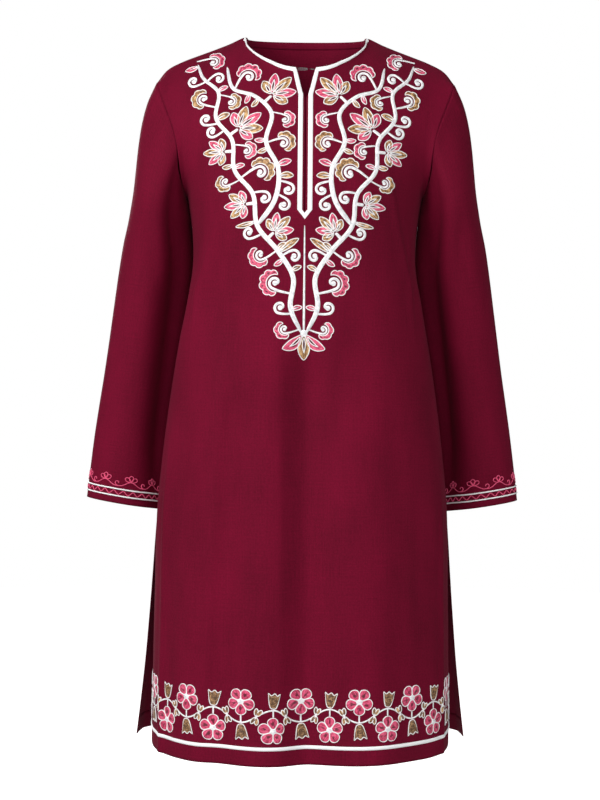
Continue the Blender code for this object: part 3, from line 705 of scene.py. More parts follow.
def streaks(tree, vector, across, along_yarn):
    """Noise drawn out along one way of the cloth."""
    moved = add(tree, "ShaderNodeMapping", {"Vector": vector, "Scale": (across, along_yarn, 1.0)})
    noise = add(tree, "ShaderNodeTexNoise", {"Vector": moved.outputs[0], "Scale": 1.0, "Detail": 2.0},
                noise_dimensions="2D")
    return noise.outputs["Fac"]


def weave_group():
    """Height and Tint of a plain weave whose UV is in metres."""
    group, given, result = new_group(
        "plain weave", [("Yarns per Metre", FLOAT, 1800.0), ("Unevenness", FLOAT, 0.3)],
        [("Height", FLOAT), ("Tint", FLOAT)])
    uv = add(group, "ShaderNodeUVMap", uv_map="cloth").outputs[0]
    parts = add(group, "ShaderNodeSeparateXYZ", {0: uv})
    turns = reckon(group, "MULTIPLY", given.outputs["Yarns per Metre"], math.pi)
    warp = reckon(group, "SINE", reckon(group, "MULTIPLY", parts.outputs[0], turns))
    weft = reckon(group, "SINE", reckon(group, "MULTIPLY", parts.outputs[1], turns))
    crossing = reckon(group, "MULTIPLY", warp, weft)
    upright = streaks(group, uv, 760.0, 22.0)
    level = streaks(group, uv, 26.0, 820.0)
    cloud = streaks(group, uv, 21.0, 8.0)
    nap = streaks(group, uv, 430.0, 390.0)
    soft = reckon(group, "ADD", cloud, nap)
    uneven = reckon(group, "ADD", upright, level)
    both = reckon(group, "MULTIPLY_ADD", uneven, 0.6, reckon(group, "MULTIPLY", soft, 1.1))
    swing = reckon(group, "MULTIPLY", reckon(group, "SUBTRACT", both, 1.7), given.outputs["Unevenness"])
    group.links.new(reckon(group, "ADD", swing, 1.0), result.inputs["Tint"])
    group.links.new(reckon(group, "ADD", reckon(group, "MULTIPLY", crossing, 0.5), uneven),
                    result.inputs["Height"])
    return group


WEAVE = weave_group()


def woven_cloth(name, colour, uneven):
    """Dyed plain-woven cloth with a faint bloom of loose fibre."""
    finish, tree, shader = new_finish(name, colour, roughness=0.82, specular_ior_level=0.09,
                                      sheen_weight=0.02, sheen_roughness=0.45)
    shader.inputs["Sheen Tint"].default_value = (1.0, 0.55, 0.65, 1.0)
    weave = add(tree, "ShaderNodeGroup", {}, node_tree=WEAVE)
    weave.inputs["Unevenness"].default_value = uneven
    tinted = add(tree, "ShaderNodeVectorMath", {0: colour[:3]}, operation="SCALE")
    tree.links.new(weave.outputs["Tint"], tinted.inputs["Scale"])
    tree.links.new(tinted.outputs[0], shader.inputs["Base Color"])
    bump = add(tree, "ShaderNodeBump", {"Height": weave.outputs["Height"], "Distance": 0.00012,
                                        "Strength": 0.6})
    tree.links.new(bump.outputs[0], shader.inputs["Normal"])
    return finish


MAROON = (0.129, 0.0016, 0.0168, 1.0)
maroon_cloth = woven_cloth("maroon cloth", MAROON, 0.42)

# %% [markdown]
# ## The neck slit
# The front is slit from the neckline half-way to the waist. The edges stand apart in a V at the top and
# then meet. The cloth near the middle is moved aside for it, so the two halves of the front are built
# as separate grids and welded below the slit.

# %% Front and back panels


def slit_half(z):
    """Half the opening of the neck slit at heights."""
    opening = np.interp(z, [SLIT_SHUT_Z, SLIT_KNEE_Z, -NECK_DROP],
                        [SLIT_SHUT_HALF, SLIT_HALF_KNEE, SLIT_HALF_TOP])
    return np.where(z > SLIT_END_Z, opening, 0.0)


def halves(grid, face):
    """The left and right half of a panel's grid, moved aside for the slit in front."""
    left, right = grid[:, :FINE_COLUMNS + 1].copy(), grid[:, FINE_COLUMNS:].copy()
    if face == "front":
        opening = slit_half(grid[:, FINE_COLUMNS, 2])[:, None]
        for half, side in ((left, -1.0), (right, 1.0)):
            away = half[:, :, 0] * side
            near = away < SLIT_REACH
            moved = opening + away * (SLIT_REACH - opening) / SLIT_REACH
            half[:, :, 0] = np.where(near, moved, away) * side
    return left, right


def panel_uv(grid, across):
    """UVs in metres: across from the middle, and up from the hem."""
    up = run_of(grid[:, FINE_COLUMNS // 2])
    return np.stack([across + 0.5, np.broadcast_to(up[:, None], across.shape)], axis=-1)


def make_panel(name, face, grid, across):
    """The front or the back as one piece of cloth."""
    left, right = halves(grid, face)
    uv = panel_uv(grid, across)
    mesh = grid_mesh(name, (left, right), (uv[:, :FINE_COLUMNS + 1], uv[:, FINE_COLUMNS:]), face == "back")
    return show(name, mesh, maroon_cloth, face + "_panel", CLOTH)


front = make_panel("front", "front", front_grid, front_across)
back = make_panel("back", "back", back_grid, back_across)


# The sleeve's place on its UV map, in metres.
SLEEVE_GIRTH, SLEEVE_TOP = 0.32, 0.8


def make_sleeve(hand):
    """A sleeve as one tube, welded along its underarm seam."""
    grid = sleeve_grids[hand]
    around = np.linspace(0, 1, FINE_AROUND + 1)[None, :] * SLEEVE_GIRTH
    down = run_of(grid.mean(axis=1))[:, None]
    uv = np.stack(np.broadcast_arrays(around, SLEEVE_TOP - down), axis=-1)
    mesh = grid_mesh(hand + "_sleeve", (grid,), (uv,), flip=hand == "left")
    return show(hand + "_sleeve", mesh, maroon_cloth, "sleeve_" + hand, CLOTH)


sleeves = {hand: make_sleeve(hand) for hand in sleeve_grids}
print("panels and sleeves cut")

# %% [markdown]
# ## Drawing for embroidery
# An embroiderer first draws the pattern flat. Here every motif is a ribbon between a left and a right
# edge: a leaf swells and comes to a point, a crescent follows an arc with a scalloped outer edge, a
# scroll curls in on itself, and a stem just runs. Places are in millimetres on the flat pattern, held
# as complex numbers, so that turning and mirroring are one product.

# %% Ribbons
Shape = namedtuple("Shape", "colour left right lobes lift")
STEP = 1.5


def bend(points, count):
    """Evenly spaced places along the smooth line through a few."""
    line = along([(place.real, place.imag) for place in points], np.linspace(0, 1, count))
    return line[:, 0] + 1j * line[:, 1]


def ribbon(colour, centre, left, right, lobes=1, lift=0):
    """A shape whose edges lie the given half widths to each side of a centre line."""
    way = np.gradient(centre)
    side = 1j * way / np.maximum(np.abs(way), 1e-9)
    return Shape(colour, centre + side * left, centre - side * right, lobes, lift)


def steps_for(length):
    """How many points a shape of this length needs."""
    return int(8 + abs(length) / STEP)


def leaf_width(u, blunt):
    """0 to 1 along a leaf: pointed at 0 blunt, and full towards a round tip at 1."""
    return (1 - blunt) * np.sin(math.pi * u) ** 0.8 + blunt * np.sin(math.pi * u ** 1.6) ** 0.55


VEIN_FROM, VEIN_TO, VEIN_HALF, VEIN_END, SLIT_SHARE = 0.08, 0.72, 0.9, 0.25, 0.12


def leaf(colour, base, tip, width, bulge, blunt, vein=""):
    """A leaf from base to tip, with a white vein or a narrow slit of maroon cloth darkened as painted shade.
    """
    u = np.linspace(0, 1, steps_for(abs(tip - base)) + 4)
    way = (tip - base) / abs(tip - base)
    centre = base + (tip - base) * u + 1j * way * bulge * np.sin(math.pi * u)
    half = width / 2 * np.clip(leaf_width(u, blunt), 0, 1)
    made = [ribbon(colour, centre, half, half)]
    inner = centre[(u > VEIN_FROM) & (u < VEIN_TO)]
    v = np.linspace(0, 1, len(inner))
    if vein == "line":
        half = VEIN_HALF * (1 - v) + VEIN_END
        made.append(ribbon("white", inner, half, half, lift=1))
    elif vein == "slit":
        half = width * SLIT_SHARE * np.sin(math.pi * v ** 0.8)
        made.append(ribbon("cloth", inner, half, half, lift=1))
    return made


def crescent(colour, centre, inner, width, facing, span, lobes):
    """An arc with a smooth inner edge and a scalloped outer edge that bulges the way it faces."""
    middle = inner + width / 2
    u = np.linspace(0, 1, steps_for(math.radians(span) * middle) + 4 * lobes)
    turn = np.exp(1j * np.radians(facing + span * (u - 0.5)))
    taper = (1 - np.abs(2 * u - 1) ** 5) ** 0.5 * (0.6 + 0.4 * np.sin(math.pi * u))
    scallop = 0.84 + 0.40 * np.abs(np.sin(math.pi * lobes * u)) ** 0.7
    outer = inner + width * taper * scallop
    return [Shape(colour, centre + inner * turn, centre + outer * turn, lobes, 0)]


# Turns of a scroll's curl against its distance from the eye, both as shares, then sizes in millimetres.
CURL_TURNS, CURL_REACH = (0.0, 0.35, 0.70, 1.0), (1.0, 0.93, 0.78, 0.30)
CURL_START, CURL_SWEEP, CURL_EYE = 9.6, 290.0, 4.2
TAIL_WIDTH, CURL_WIDTH = 3.2, 4.5
LEAST_TAIL, CURL_LONG = 2.0, 80.0


def disc(colour, centre, radius, lift=0):
    """A round spot."""
    x = -np.cos(np.linspace(0, math.pi, 14)) * radius
    half = np.sqrt(np.maximum(radius ** 2 - x ** 2, 0))
    return Shape(colour, centre + x + 1j * half, centre + x - 1j * half, 1, lift)


def scroll(centre, tail, size):
    """A white scroll whose tail runs on to a circle and curls in to a round eye."""
    away = tail - centre
    start = CURL_START * size
    touch = np.angle(away) - math.acos(min(1.0, start / abs(away)))
    u = np.linspace(0, 1, 14)
    reach = start * np.interp(u, CURL_TURNS, CURL_REACH)
    curled = centre + reach * np.exp(1j * (touch - u * math.radians(CURL_SWEEP)))
    places = np.r_[tail, curled] if abs(tail - curled[0]) > LEAST_TAIL else curled
    line = bend(places, steps_for(CURL_LONG * size))
    v = np.linspace(0, 1, len(line))
    wide = np.interp(v, [0, 0.4, 1], [TAIL_WIDTH, CURL_WIDTH, CURL_WIDTH])
    half = size / 2 * wide * (1 - v ** 24) ** 0.5
    return [ribbon("white", line, half, half), disc("white", centre, CURL_EYE * size)]


def stem(places, start, end):
    """A white stem through a few places, from one width to another."""
    line = bend(places, steps_for(np.abs(np.diff(places)).sum()))
    v = np.linspace(0, 1, len(line))
    half = (start + (end - start) * v) / 2 * (1 - np.abs(2 * v - 1) ** 16) ** 0.5
    return [ribbon("white", line, half, half)]


def mirrored(shapes):
    """The shapes on the other side of the middle."""
    return [Shape(s.colour, -np.conj(s.left), -np.conj(s.right), s.lobes, s.lift) for s in shapes]


# %% [markdown]
# ## Sewing it on
# The flat pattern is then laid on the cloth. Each place becomes a point on the cloth with the cloth's
# own normal, so every thread follows the folds. A filled shape is a low dome of satin stitches, and
# round each coloured one runs a couched white cord.

# %% Satin fills
DOME, DOME_SHARE, LAYER, BED = 0.9, 0.22, 0.8, 0.15
ACROSS = 7
# How far apart the shapes lie on the UV map, so that no two show the same stretch of floss.
RUN_APART, SIDE_APART = 17.0, 9.0


def outline(shape):
    """The closed edge of a shape as evenly spaced places."""
    loop = np.r_[shape.left, shape.right[-2:0:-1]]
    loop = np.r_[loop, loop[0]]
    way = np.r_[0, np.cumsum(np.abs(np.diff(loop)))]
    count = max(10, int(way[-1] / CORD_STEP))
    at = np.linspace(0, way[-1], count, endpoint=False)
    return np.interp(at, way, loop.real) + 1j * np.interp(at, way, loop.imag)


def fill_mesh(name, shapes, onto):
    """One mesh of low domes, with a UV along and across the stitches in metres, and one for lobes."""
    v = np.linspace(0, 1, ACROSS)
    points, faces, threads, motifs = [], [], [], []
    for number, shape in enumerate(shapes):
        plan = shape.left[:, None] * (1 - v) + shape.right[:, None] * v
        widths = np.abs(shape.right - shape.left)
        rise = np.minimum(DOME, widths * DOME_SHARE)[:, None] * np.sqrt(np.maximum(1 - (2 * v - 1) ** 2, 0))
        height = BED + shape.lift * LAYER + rise
        place, normal = onto(plan.ravel())
        start = len(points)
        points.extend((place + normal * height.reshape(-1, 1) / 1000).tolist())
        middle = (shape.left + shape.right) / 2
        run = np.r_[0, np.cumsum(np.abs(np.diff(middle)))]
        threads.extend(np.stack([
            np.broadcast_to(run[:, None], plan.shape) + RUN_APART * number,
            (v - 0.5) * widths[:, None] + SIDE_APART * number], axis=-1).reshape(-1, 2) / 1000)
        motifs.extend(np.stack(np.broadcast_arrays(
            np.linspace(0, 1, len(run))[:, None] * shape.lobes, v[None, :]), axis=-1).reshape(-1, 2))
        quads = squares(*plan.shape, start)
        edge = plan[1, -1] - plan[0, 0], plan[0, -1] - plan[1, 0]
        turned = (np.conj(edge[0]) * edge[1]).imag > 0
        faces.extend((quads if turned else quads[:, ::-1]).tolist())
    return smooth_mesh(name, points, faces, {"thread": threads, "motif": motifs})


# %% [markdown]
# ## Cords
# A couched cord is a smooth tube along its line. One Geometry Nodes tree turns any set of curves into
# tubes and keeps how far along and how far round each point is, so that the thread can be twisted.

# %% Lay cord
CORD_STEP = 1.2
CORD_SIDES = 6


def cord_tree():
    """The tree: curves in, tubes out, with the attributes along and around."""
    tree = bpy.data.node_groups.new("Lay cord", "GeometryNodeTree")
    for label, kind, way in (("Geometry", "NodeSocketGeometry", "INPUT"), ("Radius", FLOAT, "INPUT"),
                             ("Sides", "NodeSocketInt", "INPUT"), ("Thread", "NodeSocketMaterial", "INPUT"),
                             ("Geometry", "NodeSocketGeometry", "OUTPUT")):
        tree.interface.new_socket(label, in_out=way, socket_type=kind)
    given, result = tree.nodes.new("NodeGroupInput"), tree.nodes.new("NodeGroupOutput")
    run = add(tree, "GeometryNodeSplineParameter")
    line = add(tree, "GeometryNodeStoreNamedAttribute",
               {"Geometry": given.outputs["Geometry"], "Name": "along", "Value": run.outputs["Length"]},
               data_type="FLOAT", domain="POINT")
    ring = add(tree, "GeometryNodeCurvePrimitiveCircle",
               {"Resolution": given.outputs["Sides"], "Radius": given.outputs["Radius"]})
    turn = add(tree, "GeometryNodeStoreNamedAttribute",
               {"Geometry": ring.outputs["Curve"], "Name": "around", "Value": run.outputs["Factor"]},
               data_type="FLOAT", domain="POINT")
    tube = add(tree, "GeometryNodeCurveToMesh",
               {"Curve": line.outputs[0], "Profile Curve": turn.outputs[0], "Fill Caps": True})
    smooth = add(tree, "GeometryNodeSetShadeSmooth", {"Geometry": tube.outputs[0]})
    whole = add(tree, "GeometryNodeRealizeInstances", {"Geometry": smooth.outputs[0]})
    dressed = add(tree, "GeometryNodeSetMaterial",
                  {"Geometry": whole.outputs[0], "Material": given.outputs["Thread"]})
    tree.links.new(dressed.outputs[0], result.inputs[0])
    return tree


LAY_CORD = cord_tree()


def grown(name, source, tree, inputs, finish, slot):
    """The mesh that a tree makes from a source object, as a piece of its own."""
    bpy.context.scene.collection.objects.link(source)
    maker = source.modifiers.new("maker", "NODES")
    maker.node_group = tree
    for socket in tree.interface.items_tree:
        if socket.in_out == "INPUT" and socket.name in inputs:
            maker[socket.identifier] = inputs[socket.name]
    source.update_tag()
    ready = source.evaluated_get(bpy.context.evaluated_depsgraph_get())
    mesh = bpy.data.meshes.new_from_object(ready)
    mesh.name = name
    bpy.data.objects.remove(source)
    return show(name, mesh, finish)


def cords(name, lines, radius, finish, slot):
    """Tubes along lines of points in metres, each line given with whether it closes on itself."""
    curve = bpy.data.curves.new(name, "CURVE")
    curve.dimensions = "3D"
    for line, closed in lines:
        spline = curve.splines.new("POLY")
        spline.points.add(len(line) - 1)
        spline.points.foreach_set("co", np.c_[line, np.ones(len(line))].ravel())
        spline.use_cyclic_u = closed
    source = bpy.data.objects.new(name + "_lines", curve)
    return grown(name, source, LAY_CORD, {"Radius": radius, "Sides": CORD_SIDES, "Thread": finish},
                 finish, slot)


# %% [markdown]
# ## Threads
# Satin stitch shines along the thread and is ribbed across it. Viscose floss is dyed unevenly, so each
# colour runs from a dark to a light, and the needle leaves small dark pits in the middle of a lobe.

# %% Thread materials


def satin_group():
    """Height, Shade and Pit of satin stitches, from the two UVs of a fill."""
    group, given, result = new_group(
        "satin stitches", [("Thread Width", FLOAT, 0.0009), ("Pit Size", FLOAT, 0.17)],
        [("Height", FLOAT), ("Shade", FLOAT), ("Pit", FLOAT)])
    uv = add(group, "ShaderNodeUVMap", uv_map="thread").outputs[0]
    parts = add(group, "ShaderNodeSeparateXYZ", {0: uv})
    turns = reckon(group, "DIVIDE", parts.outputs[1], given.outputs["Thread Width"])
    ribs = reckon(group, "SINE", reckon(group, "MULTIPLY", turns, 2 * math.pi))
    group.links.new(reckon(group, "MULTIPLY_ADD", ribs, 0.5, 0.5), result.inputs["Height"])
    long_run = streaks(group, uv, 130.0, 900.0)
    patch = streaks(group, uv, 210.0, 330.0)
    mixed = reckon(group, "MULTIPLY_ADD", long_run, 0.55, reckon(group, "MULTIPLY", patch, 0.45))
    place = add(group, "ShaderNodeUVMap", uv_map="motif").outputs[0]
    motif = add(group, "ShaderNodeSeparateXYZ", {0: place})
    rim = reckon(group, "ABSOLUTE", reckon(group, "SUBTRACT", motif.outputs[1], 0.5))
    swung = reckon(group, "MULTIPLY_ADD", reckon(group, "SUBTRACT", mixed, 0.5), 2.6, 0.40)
    off = reckon(group, "SUBTRACT", reckon(group, "FRACT", motif.outputs[0]), 0.5)
    notch = reckon(group, "MAXIMUM", reckon(group, "SUBTRACT", reckon(group, "ABSOLUTE", off), 0.36), 0.0)
    lobed = reckon(group, "MULTIPLY_ADD", notch, -2.4, swung)
    group.links.new(reckon(group, "MULTIPLY_ADD", rim, 0.5, lobed), result.inputs["Shade"])
    side = reckon(group, "SUBTRACT", motif.outputs[1], 0.52)
    far = reckon(group, "SQRT", reckon(group, "ADD", reckon(group, "MULTIPLY", off, off),
                                       reckon(group, "MULTIPLY", side, side)))
    rough = reckon(group, "MULTIPLY_ADD", patch, 0.5, reckon(group, "SUBTRACT", far, 0.25))
    near = reckon(group, "DIVIDE", reckon(group, "SUBTRACT", given.outputs["Pit Size"], rough), 0.06)
    pit = add(group, "ShaderNodeClamp", {0: near})
    group.links.new(pit.outputs[0], result.inputs["Pit"])
    return group


SATIN = satin_group()


def satin_thread(name, dark, middle_tone, light, pit_depth, rough):
    """Floss in satin stitch, from a dark to a light tone, with dark pits."""
    finish, tree, shader = new_finish(name, middle_tone, roughness=rough, specular_ior_level=0.4,
                                      sheen_weight=0.15, sheen_roughness=0.4)
    satin = add(tree, "ShaderNodeGroup", {}, node_tree=SATIN)
    ramp = add(tree, "ShaderNodeValToRGB", {"Fac": satin.outputs["Shade"]})
    stops = ramp.color_ramp.elements
    stops[0].position, stops[0].color = 0.22, dark
    stops[1].position, stops[1].color = 0.80, light
    stops.new(0.48).color = middle_tone
    mix = add(tree, "ShaderNodeMix", data_type="RGBA")
    depth = reckon(tree, "MULTIPLY", satin.outputs["Pit"], pit_depth)
    tree.links.new(depth, mix.inputs[0])
    tree.links.new(ramp.outputs["Color"], mix.inputs[6])
    mix.inputs[7].default_value = tuple(0.2 * c for c in dark[:3]) + (1.0,)
    tree.links.new(mix.outputs[2], shader.inputs["Base Color"])
    bump = add(tree, "ShaderNodeBump", {"Height": satin.outputs["Height"], "Distance": 0.00018,
                                        "Strength": 0.7})
    tree.links.new(bump.outputs[0], shader.inputs["Normal"])
    return finish


PLY_TWIST = 0.0022


def twisted_cord(name, colour):
    """A cord of two plies, from the attributes that the tubes keep."""
    finish, tree, shader = new_finish(name, colour, roughness=0.5, specular_ior_level=0.35,
                                      sheen_weight=0.1)
    run = add(tree, "ShaderNodeAttribute", attribute_name="along").outputs["Fac"]
    turn = add(tree, "ShaderNodeAttribute", attribute_name="around").outputs["Fac"]
    phase = reckon(tree, "ADD", reckon(tree, "DIVIDE", run, PLY_TWIST), turn)
    plies = reckon(tree, "SINE", reckon(tree, "MULTIPLY", phase, 2 * math.pi))
    bump = add(tree, "ShaderNodeBump", {"Height": plies, "Distance": 0.00016, "Strength": 0.6})
    tree.links.new(bump.outputs[0], shader.inputs["Normal"])
    return finish


# Each floss in its dark, middle and light tone, with the depth of its pits and its roughness.
FLOSS = {
    "pink": ((0.38, 0.024, 0.075, 1), (0.68, 0.072, 0.155, 1), (0.82, 0.165, 0.275, 1), 0.85, 0.42),
    "rose": ((0.30, 0.015, 0.055, 1), (0.60, 0.045, 0.125, 1), (0.74, 0.11, 0.22, 1), 0.80, 0.42),
    "gold": ((0.13, 0.058, 0.018, 1), (0.37, 0.19, 0.070, 1), (0.74, 0.47, 0.22, 1), 0.22, 0.42),
    "brown": ((0.070, 0.030, 0.011, 1), (0.17, 0.080, 0.030, 1), (0.42, 0.24, 0.11, 1), 0.25, 0.42),
    "white": ((0.66, 0.66, 0.68, 1), (0.85, 0.85, 0.86, 1), (0.94, 0.94, 0.95, 1), 0.0, 0.5),
}
THREADS = {colour: satin_thread(colour + " thread", *tones) for colour, tones in FLOSS.items()}
white_cord = twisted_cord("white cord", (0.87, 0.87, 0.87, 1))
pink_cord = twisted_cord("pink cord", (0.76, 0.075, 0.185, 1))
# The cloth seen in the leaves' slits is a fill of maroon at SHADED of its colour: painted shade between the
# raised stitches.
SHADED = 0.6
shaded_maroon = tuple(SHADED * channel for channel in MAROON[:3]) + (1.0,)
THREADS["cloth"] = woven_cloth("maroon cloth in painted shade between stitches", shaded_maroon, 0.3)
CORD_LIFT, CORD_RADIUS = 0.40, 0.00066
LEAST_OUTLINED = 1.3


def embroider(name, shapes, onto, radius=CORD_RADIUS):
    """Sews shapes to the cloth: a fill for each colour, and white cord round all but the white ones."""
    made = []
    for colour in sorted({shape.colour for shape in shapes}):
        chosen = [shape for shape in shapes if shape.colour == colour]
        mesh = fill_mesh(name + "_" + colour, chosen, onto)
        made.append(show(name + "_" + colour, mesh, THREADS[colour]))
    lines = []
    for shape in shapes:
        if shape.colour != "white" and (
                shape.colour == "cloth" or np.abs(shape.right - shape.left).max() > LEAST_OUTLINED):
            place, normal = onto(outline(shape))
            lines.append((place + normal * (CORD_LIFT + shape.lift * LAYER) / 1000, True))
    made.append(cords(name + "_outline", lines, radius, white_cord, "white_braid"))
    print(name, "-", len(shapes), "shapes,", sum(len(piece.data.polygons) for piece in made), "faces")
    return made


# %% [markdown]
# ## The yoke
# The yoke pattern hangs like a collar round the neck and comes to a point under the slit. One half is
# drawn, in millimetres to the side and up, and the other half is its mirror image. It is a design of
# this lesson's own. Two vines are given, and each motif then takes the next place beside them
# that has room for it, the large blossoms first and the small leaves last, so that the pattern fills
# evenly and nothing in it runs over anything else.

# %% Draw the yoke
# The vines of the left half, as (x, up) places, and how far out the pattern may reach at each height.
VINES = [np.array([complex(*place) for place in vine]) for vine in (
    ((-3, -404), (-17, -372), (-14, -334), (-34, -300), (-60, -268), (-66, -228), (-90, -196),
     (-94, -156), (-116, -124), (-114, -88), (-136, -64), (-144, -42)),
    ((-60, -268), (-38, -236), (-34, -196), (-50, -160), (-44, -120), (-66, -96), (-94, -84), (-104, -50)),
)]
REACH_UP, REACH_HALF = (-440, -400, -330, -260, -200, -120, -30), (8, 38, 62, 94, 124, 146, 166)
VINE_START, VINE_END, VINE_GAP, VINE_STOPS = 6.5, 4.5, 3.5, 90
SLIT_FOOT, SLIT_CLEAR, MIDDLE_CLEAR, NECK_CLEAR = -268.0, 11.5, 2.0, 10.5
SHOULDER_SLOPE, SHOULDER_CLEAR, STALK_CLEAR, VINE_SLACK = 0.42, 5.0, 1.5, 0.8
BLOOM_COLOURS = ("pink", "gold")
# A blossom: its petals' angles, three shares of its radius, and its stalk's two widths in millimetres.
PETAL_TURNS, HEART_BACK, PETAL_FROM, PETAL_WIDE, STALK = (-72, -36, 0, 36, 72), 0.55, 0.12, 0.56, (4.5, 3.5)
# A sprig's crescent and scroll, then a lone scroll and a lone leaf, each sized from its motif's radius.
CRESCENT_WIDE, CRESCENT_SPAN, LOBE_LONG, SPRIG_SCROLL = 0.37, 205, 3.2, 26
LONE_SCROLL, LEAF_WIDE = 12.5, 1.1


def sprig(foot, centre, radius, count):
    """A scroll off the vine with a scalloped crescent about it."""
    facing = math.degrees(np.angle(centre - foot))
    width = radius * CRESCENT_WIDE
    shapes = crescent(BLOOM_COLOURS[count % 2], centre, radius - width * 1.2, width, facing,
                      CRESCENT_SPAN, int(radius / LOBE_LONG))
    return shapes + scroll(centre, foot + 1j * (centre - foot) * 0.5, radius / SPRIG_SCROLL)


def blossom(foot, centre, radius, count):
    """Five pointed petals that open away from the vine, pink and gold by turns."""
    facing = (centre - foot) / abs(centre - foot)
    heart = centre - facing * radius * HEART_BACK
    shapes = stem((foot, heart), *STALK)
    for petal, turn in enumerate(PETAL_TURNS):
        way = facing * np.exp(1j * math.radians(turn))
        sine, cosine = math.sin(math.radians(turn)), math.cos(math.radians(turn))
        length = radius * (HEART_BACK * cosine + math.sqrt(1 - (HEART_BACK * sine) ** 2))
        shapes += leaf(BLOOM_COLOURS[(petal + count) % 2], heart + way * radius * PETAL_FROM,
                       heart + way * length, radius * PETAL_WIDE, 0, 0.3, "slit")
    return shapes


def curl(foot, centre, radius, count):
    """A white scroll alone."""
    return scroll(centre, foot + 1j * (centre - foot) * 0.7, radius / LONE_SCROLL)


def lone_leaf(foot, centre, radius, count):
    """One leaf off the vine."""
    tip = centre + (centre - foot) / abs(centre - foot) * radius
    return leaf(BLOOM_COLOURS[count % 2], foot, tip, radius * LEAF_WIDE, 1.0, 0.3, "line")


# The motifs in the order they find their room, with the radius each needs and how many there may be.
Motif = namedtuple("Motif", "draw radius most")
MOTIFS = [Motif(*row) for row in (
    (blossom, 23.0, 4), (sprig, 20.0, 5), (blossom, 18.0, 3), (sprig, 16.5, 12),
    (sprig, 13.5, 8), (curl, 9.5, 10), (lone_leaf, 7.5, 20), (lone_leaf, 5.5, 20),
)]
FURTHER = (0.0, 6.0, 12.0, 18.0)


def neck_up(x):
    """The height of the neckline's edge."""
    share = np.minimum(np.abs(x) / 1000 / NECK_HALF, 1)
    return -1000 * NECK_DROP * (1 - share ** NECK_CURVE) ** (1 / NECK_CURVE)


def has_room(foot, centre, radius, taken, lines):
    """Whether a round spot and its stalk are clear of the edges, the vines and the other motifs."""
    stalk = foot + (centre - foot) * np.linspace(0.1, 1, 8)
    if any(np.abs(stalk - spot).min() < size + STALK_CLEAR for spot, size in taken):
        return False
    x, up = centre.real, centre.imag
    inner = SLIT_CLEAR if up + radius > SLIT_FOOT else MIDDLE_CLEAR
    neck_x = np.linspace(-1000 * NECK_HALF, 0, 60)
    neck = neck_x + 1j * neck_up(neck_x)
    top = -SHOULDER_SLOPE * max(0, -x - 1000 * NECK_HALF) - SHOULDER_CLEAR
    return (-x - radius > inner and -x + radius < np.interp(up, REACH_UP, REACH_HALF)
            and up + radius < top and up < neck_up(x) and np.abs(neck - centre).min() > radius + NECK_CLEAR
            and np.abs(lines - centre).min() > radius + VINE_GAP - VINE_SLACK
            and all(abs(spot - centre) > radius + size for spot, size in taken))


def yoke_half():
    """The shapes of the left half: the vines, then each motif where it next finds room beside them."""
    shapes, taken, starts = [], [], []
    lines = [bend(vine, VINE_STOPS) for vine in VINES]
    for vine, line in zip(VINES, lines):
        shapes += stem(vine, VINE_START, VINE_END)
        starts += [(foot, way / abs(way)) for foot, way in zip(line[3:-1], np.gradient(line)[3:-1])]
    for motif in MOTIFS:
        made = 0
        for more, (foot, way), hand in itertools.product(FURTHER, starts, (1, -1)):
            centre = foot + hand * 1j * way * (motif.radius + VINE_GAP + more)
            if made < motif.most and has_room(foot, centre, motif.radius, taken, np.concatenate(lines)):
                shapes += motif.draw(foot, centre, motif.radius, len(taken))
                taken.append((centre, motif.radius))
                made += 1
    print("motifs in half of the yoke:", len(taken))
    return shapes


cloth_tree = BVHTree.FromObject(front, bpy.context.evaluated_depsgraph_get())


def onto_front(plan):
    """Points and normals on the front, straight behind places of the flat pattern."""
    places, normals = [], []
    for place in plan:
        seen = cloth_tree.ray_cast(Vector((place.real / 1000, -1.0, place.imag / 1000)), Vector((0, 1, 0)))
        if seen[0] is None or seen[0].y > 0.05:
            seen = cloth_tree.find_nearest(Vector((place.real / 1000, -0.05, place.imag / 1000)))
        places.append(seen[0])
        normals.append(seen[1] if seen[1].y < 0.2 else -seen[1])
    return np.array(places), np.array(normals)


# The drop at the foot of the yoke: where the vines meet, and the leaves that hang from there.
MEETING = complex(0, -404)


def draw_yoke():
    """Both halves, the stem between them and the drop at the foot."""
    half = yoke_half()
    shapes = half + mirrored(half)
    shapes += stem((1j * SLIT_FOOT, -336j, MEETING), 1.6, 3.0)
    shapes += leaf("gold", MEETING - 3j, MEETING - 34j, 15, 0, 0.15, "slit")
    for side in (-1, 1):
        shapes += leaf("pink", MEETING + side * 3 - 2j, MEETING + side * 27 - 20j, 13, side * -3.5, 0.2,
                       "slit")
    return shapes + [disc("white", MEETING, 4.5, lift=0.6)]


embroider("yoke", draw_yoke(), onto_front)

# %% [markdown]
# ## The hem border
# The border is one repeat, charted for this tunic and set at an even step along the hem. A white vine
# waves through it. A five-petalled flower stands in each hollow and one hangs under each crest, with a
# closed bud on the other side of the vine and small leaves between.

# %% Draw the border
STEM_WIDTH, PETALS, PETAL_WIDTH = 1.9, 5, 13.2
FLOWER_REACH, FLOWER_EYE = 16.8, 4.2
HEM_PERIOD, HEM_REPEATS, FLOWER_UP = 74.0, 4, 80.0
SIDE_RISE, SIDE_FROM = 1.5, 222.0
HEM_VINE_UP, HEM_VINE_WAVE, HEM_LOWER = -18.0, 8.0, -36.0
HEM_LEAF, HEM_LEAF_WIDTH, HEM_LEAF_TURNS = 10.5, 4.8, (52, 88, -88, -126)
BUD_LONG, BUD_WIDTH, BUD_LEAN, BUD_BACK, STALK_LONG = 19.0, 16.0, 2.0, 2.0, 9.0
SIDE_MARGIN, HEM_CORD_RADIUS = 4.0, 0.00062


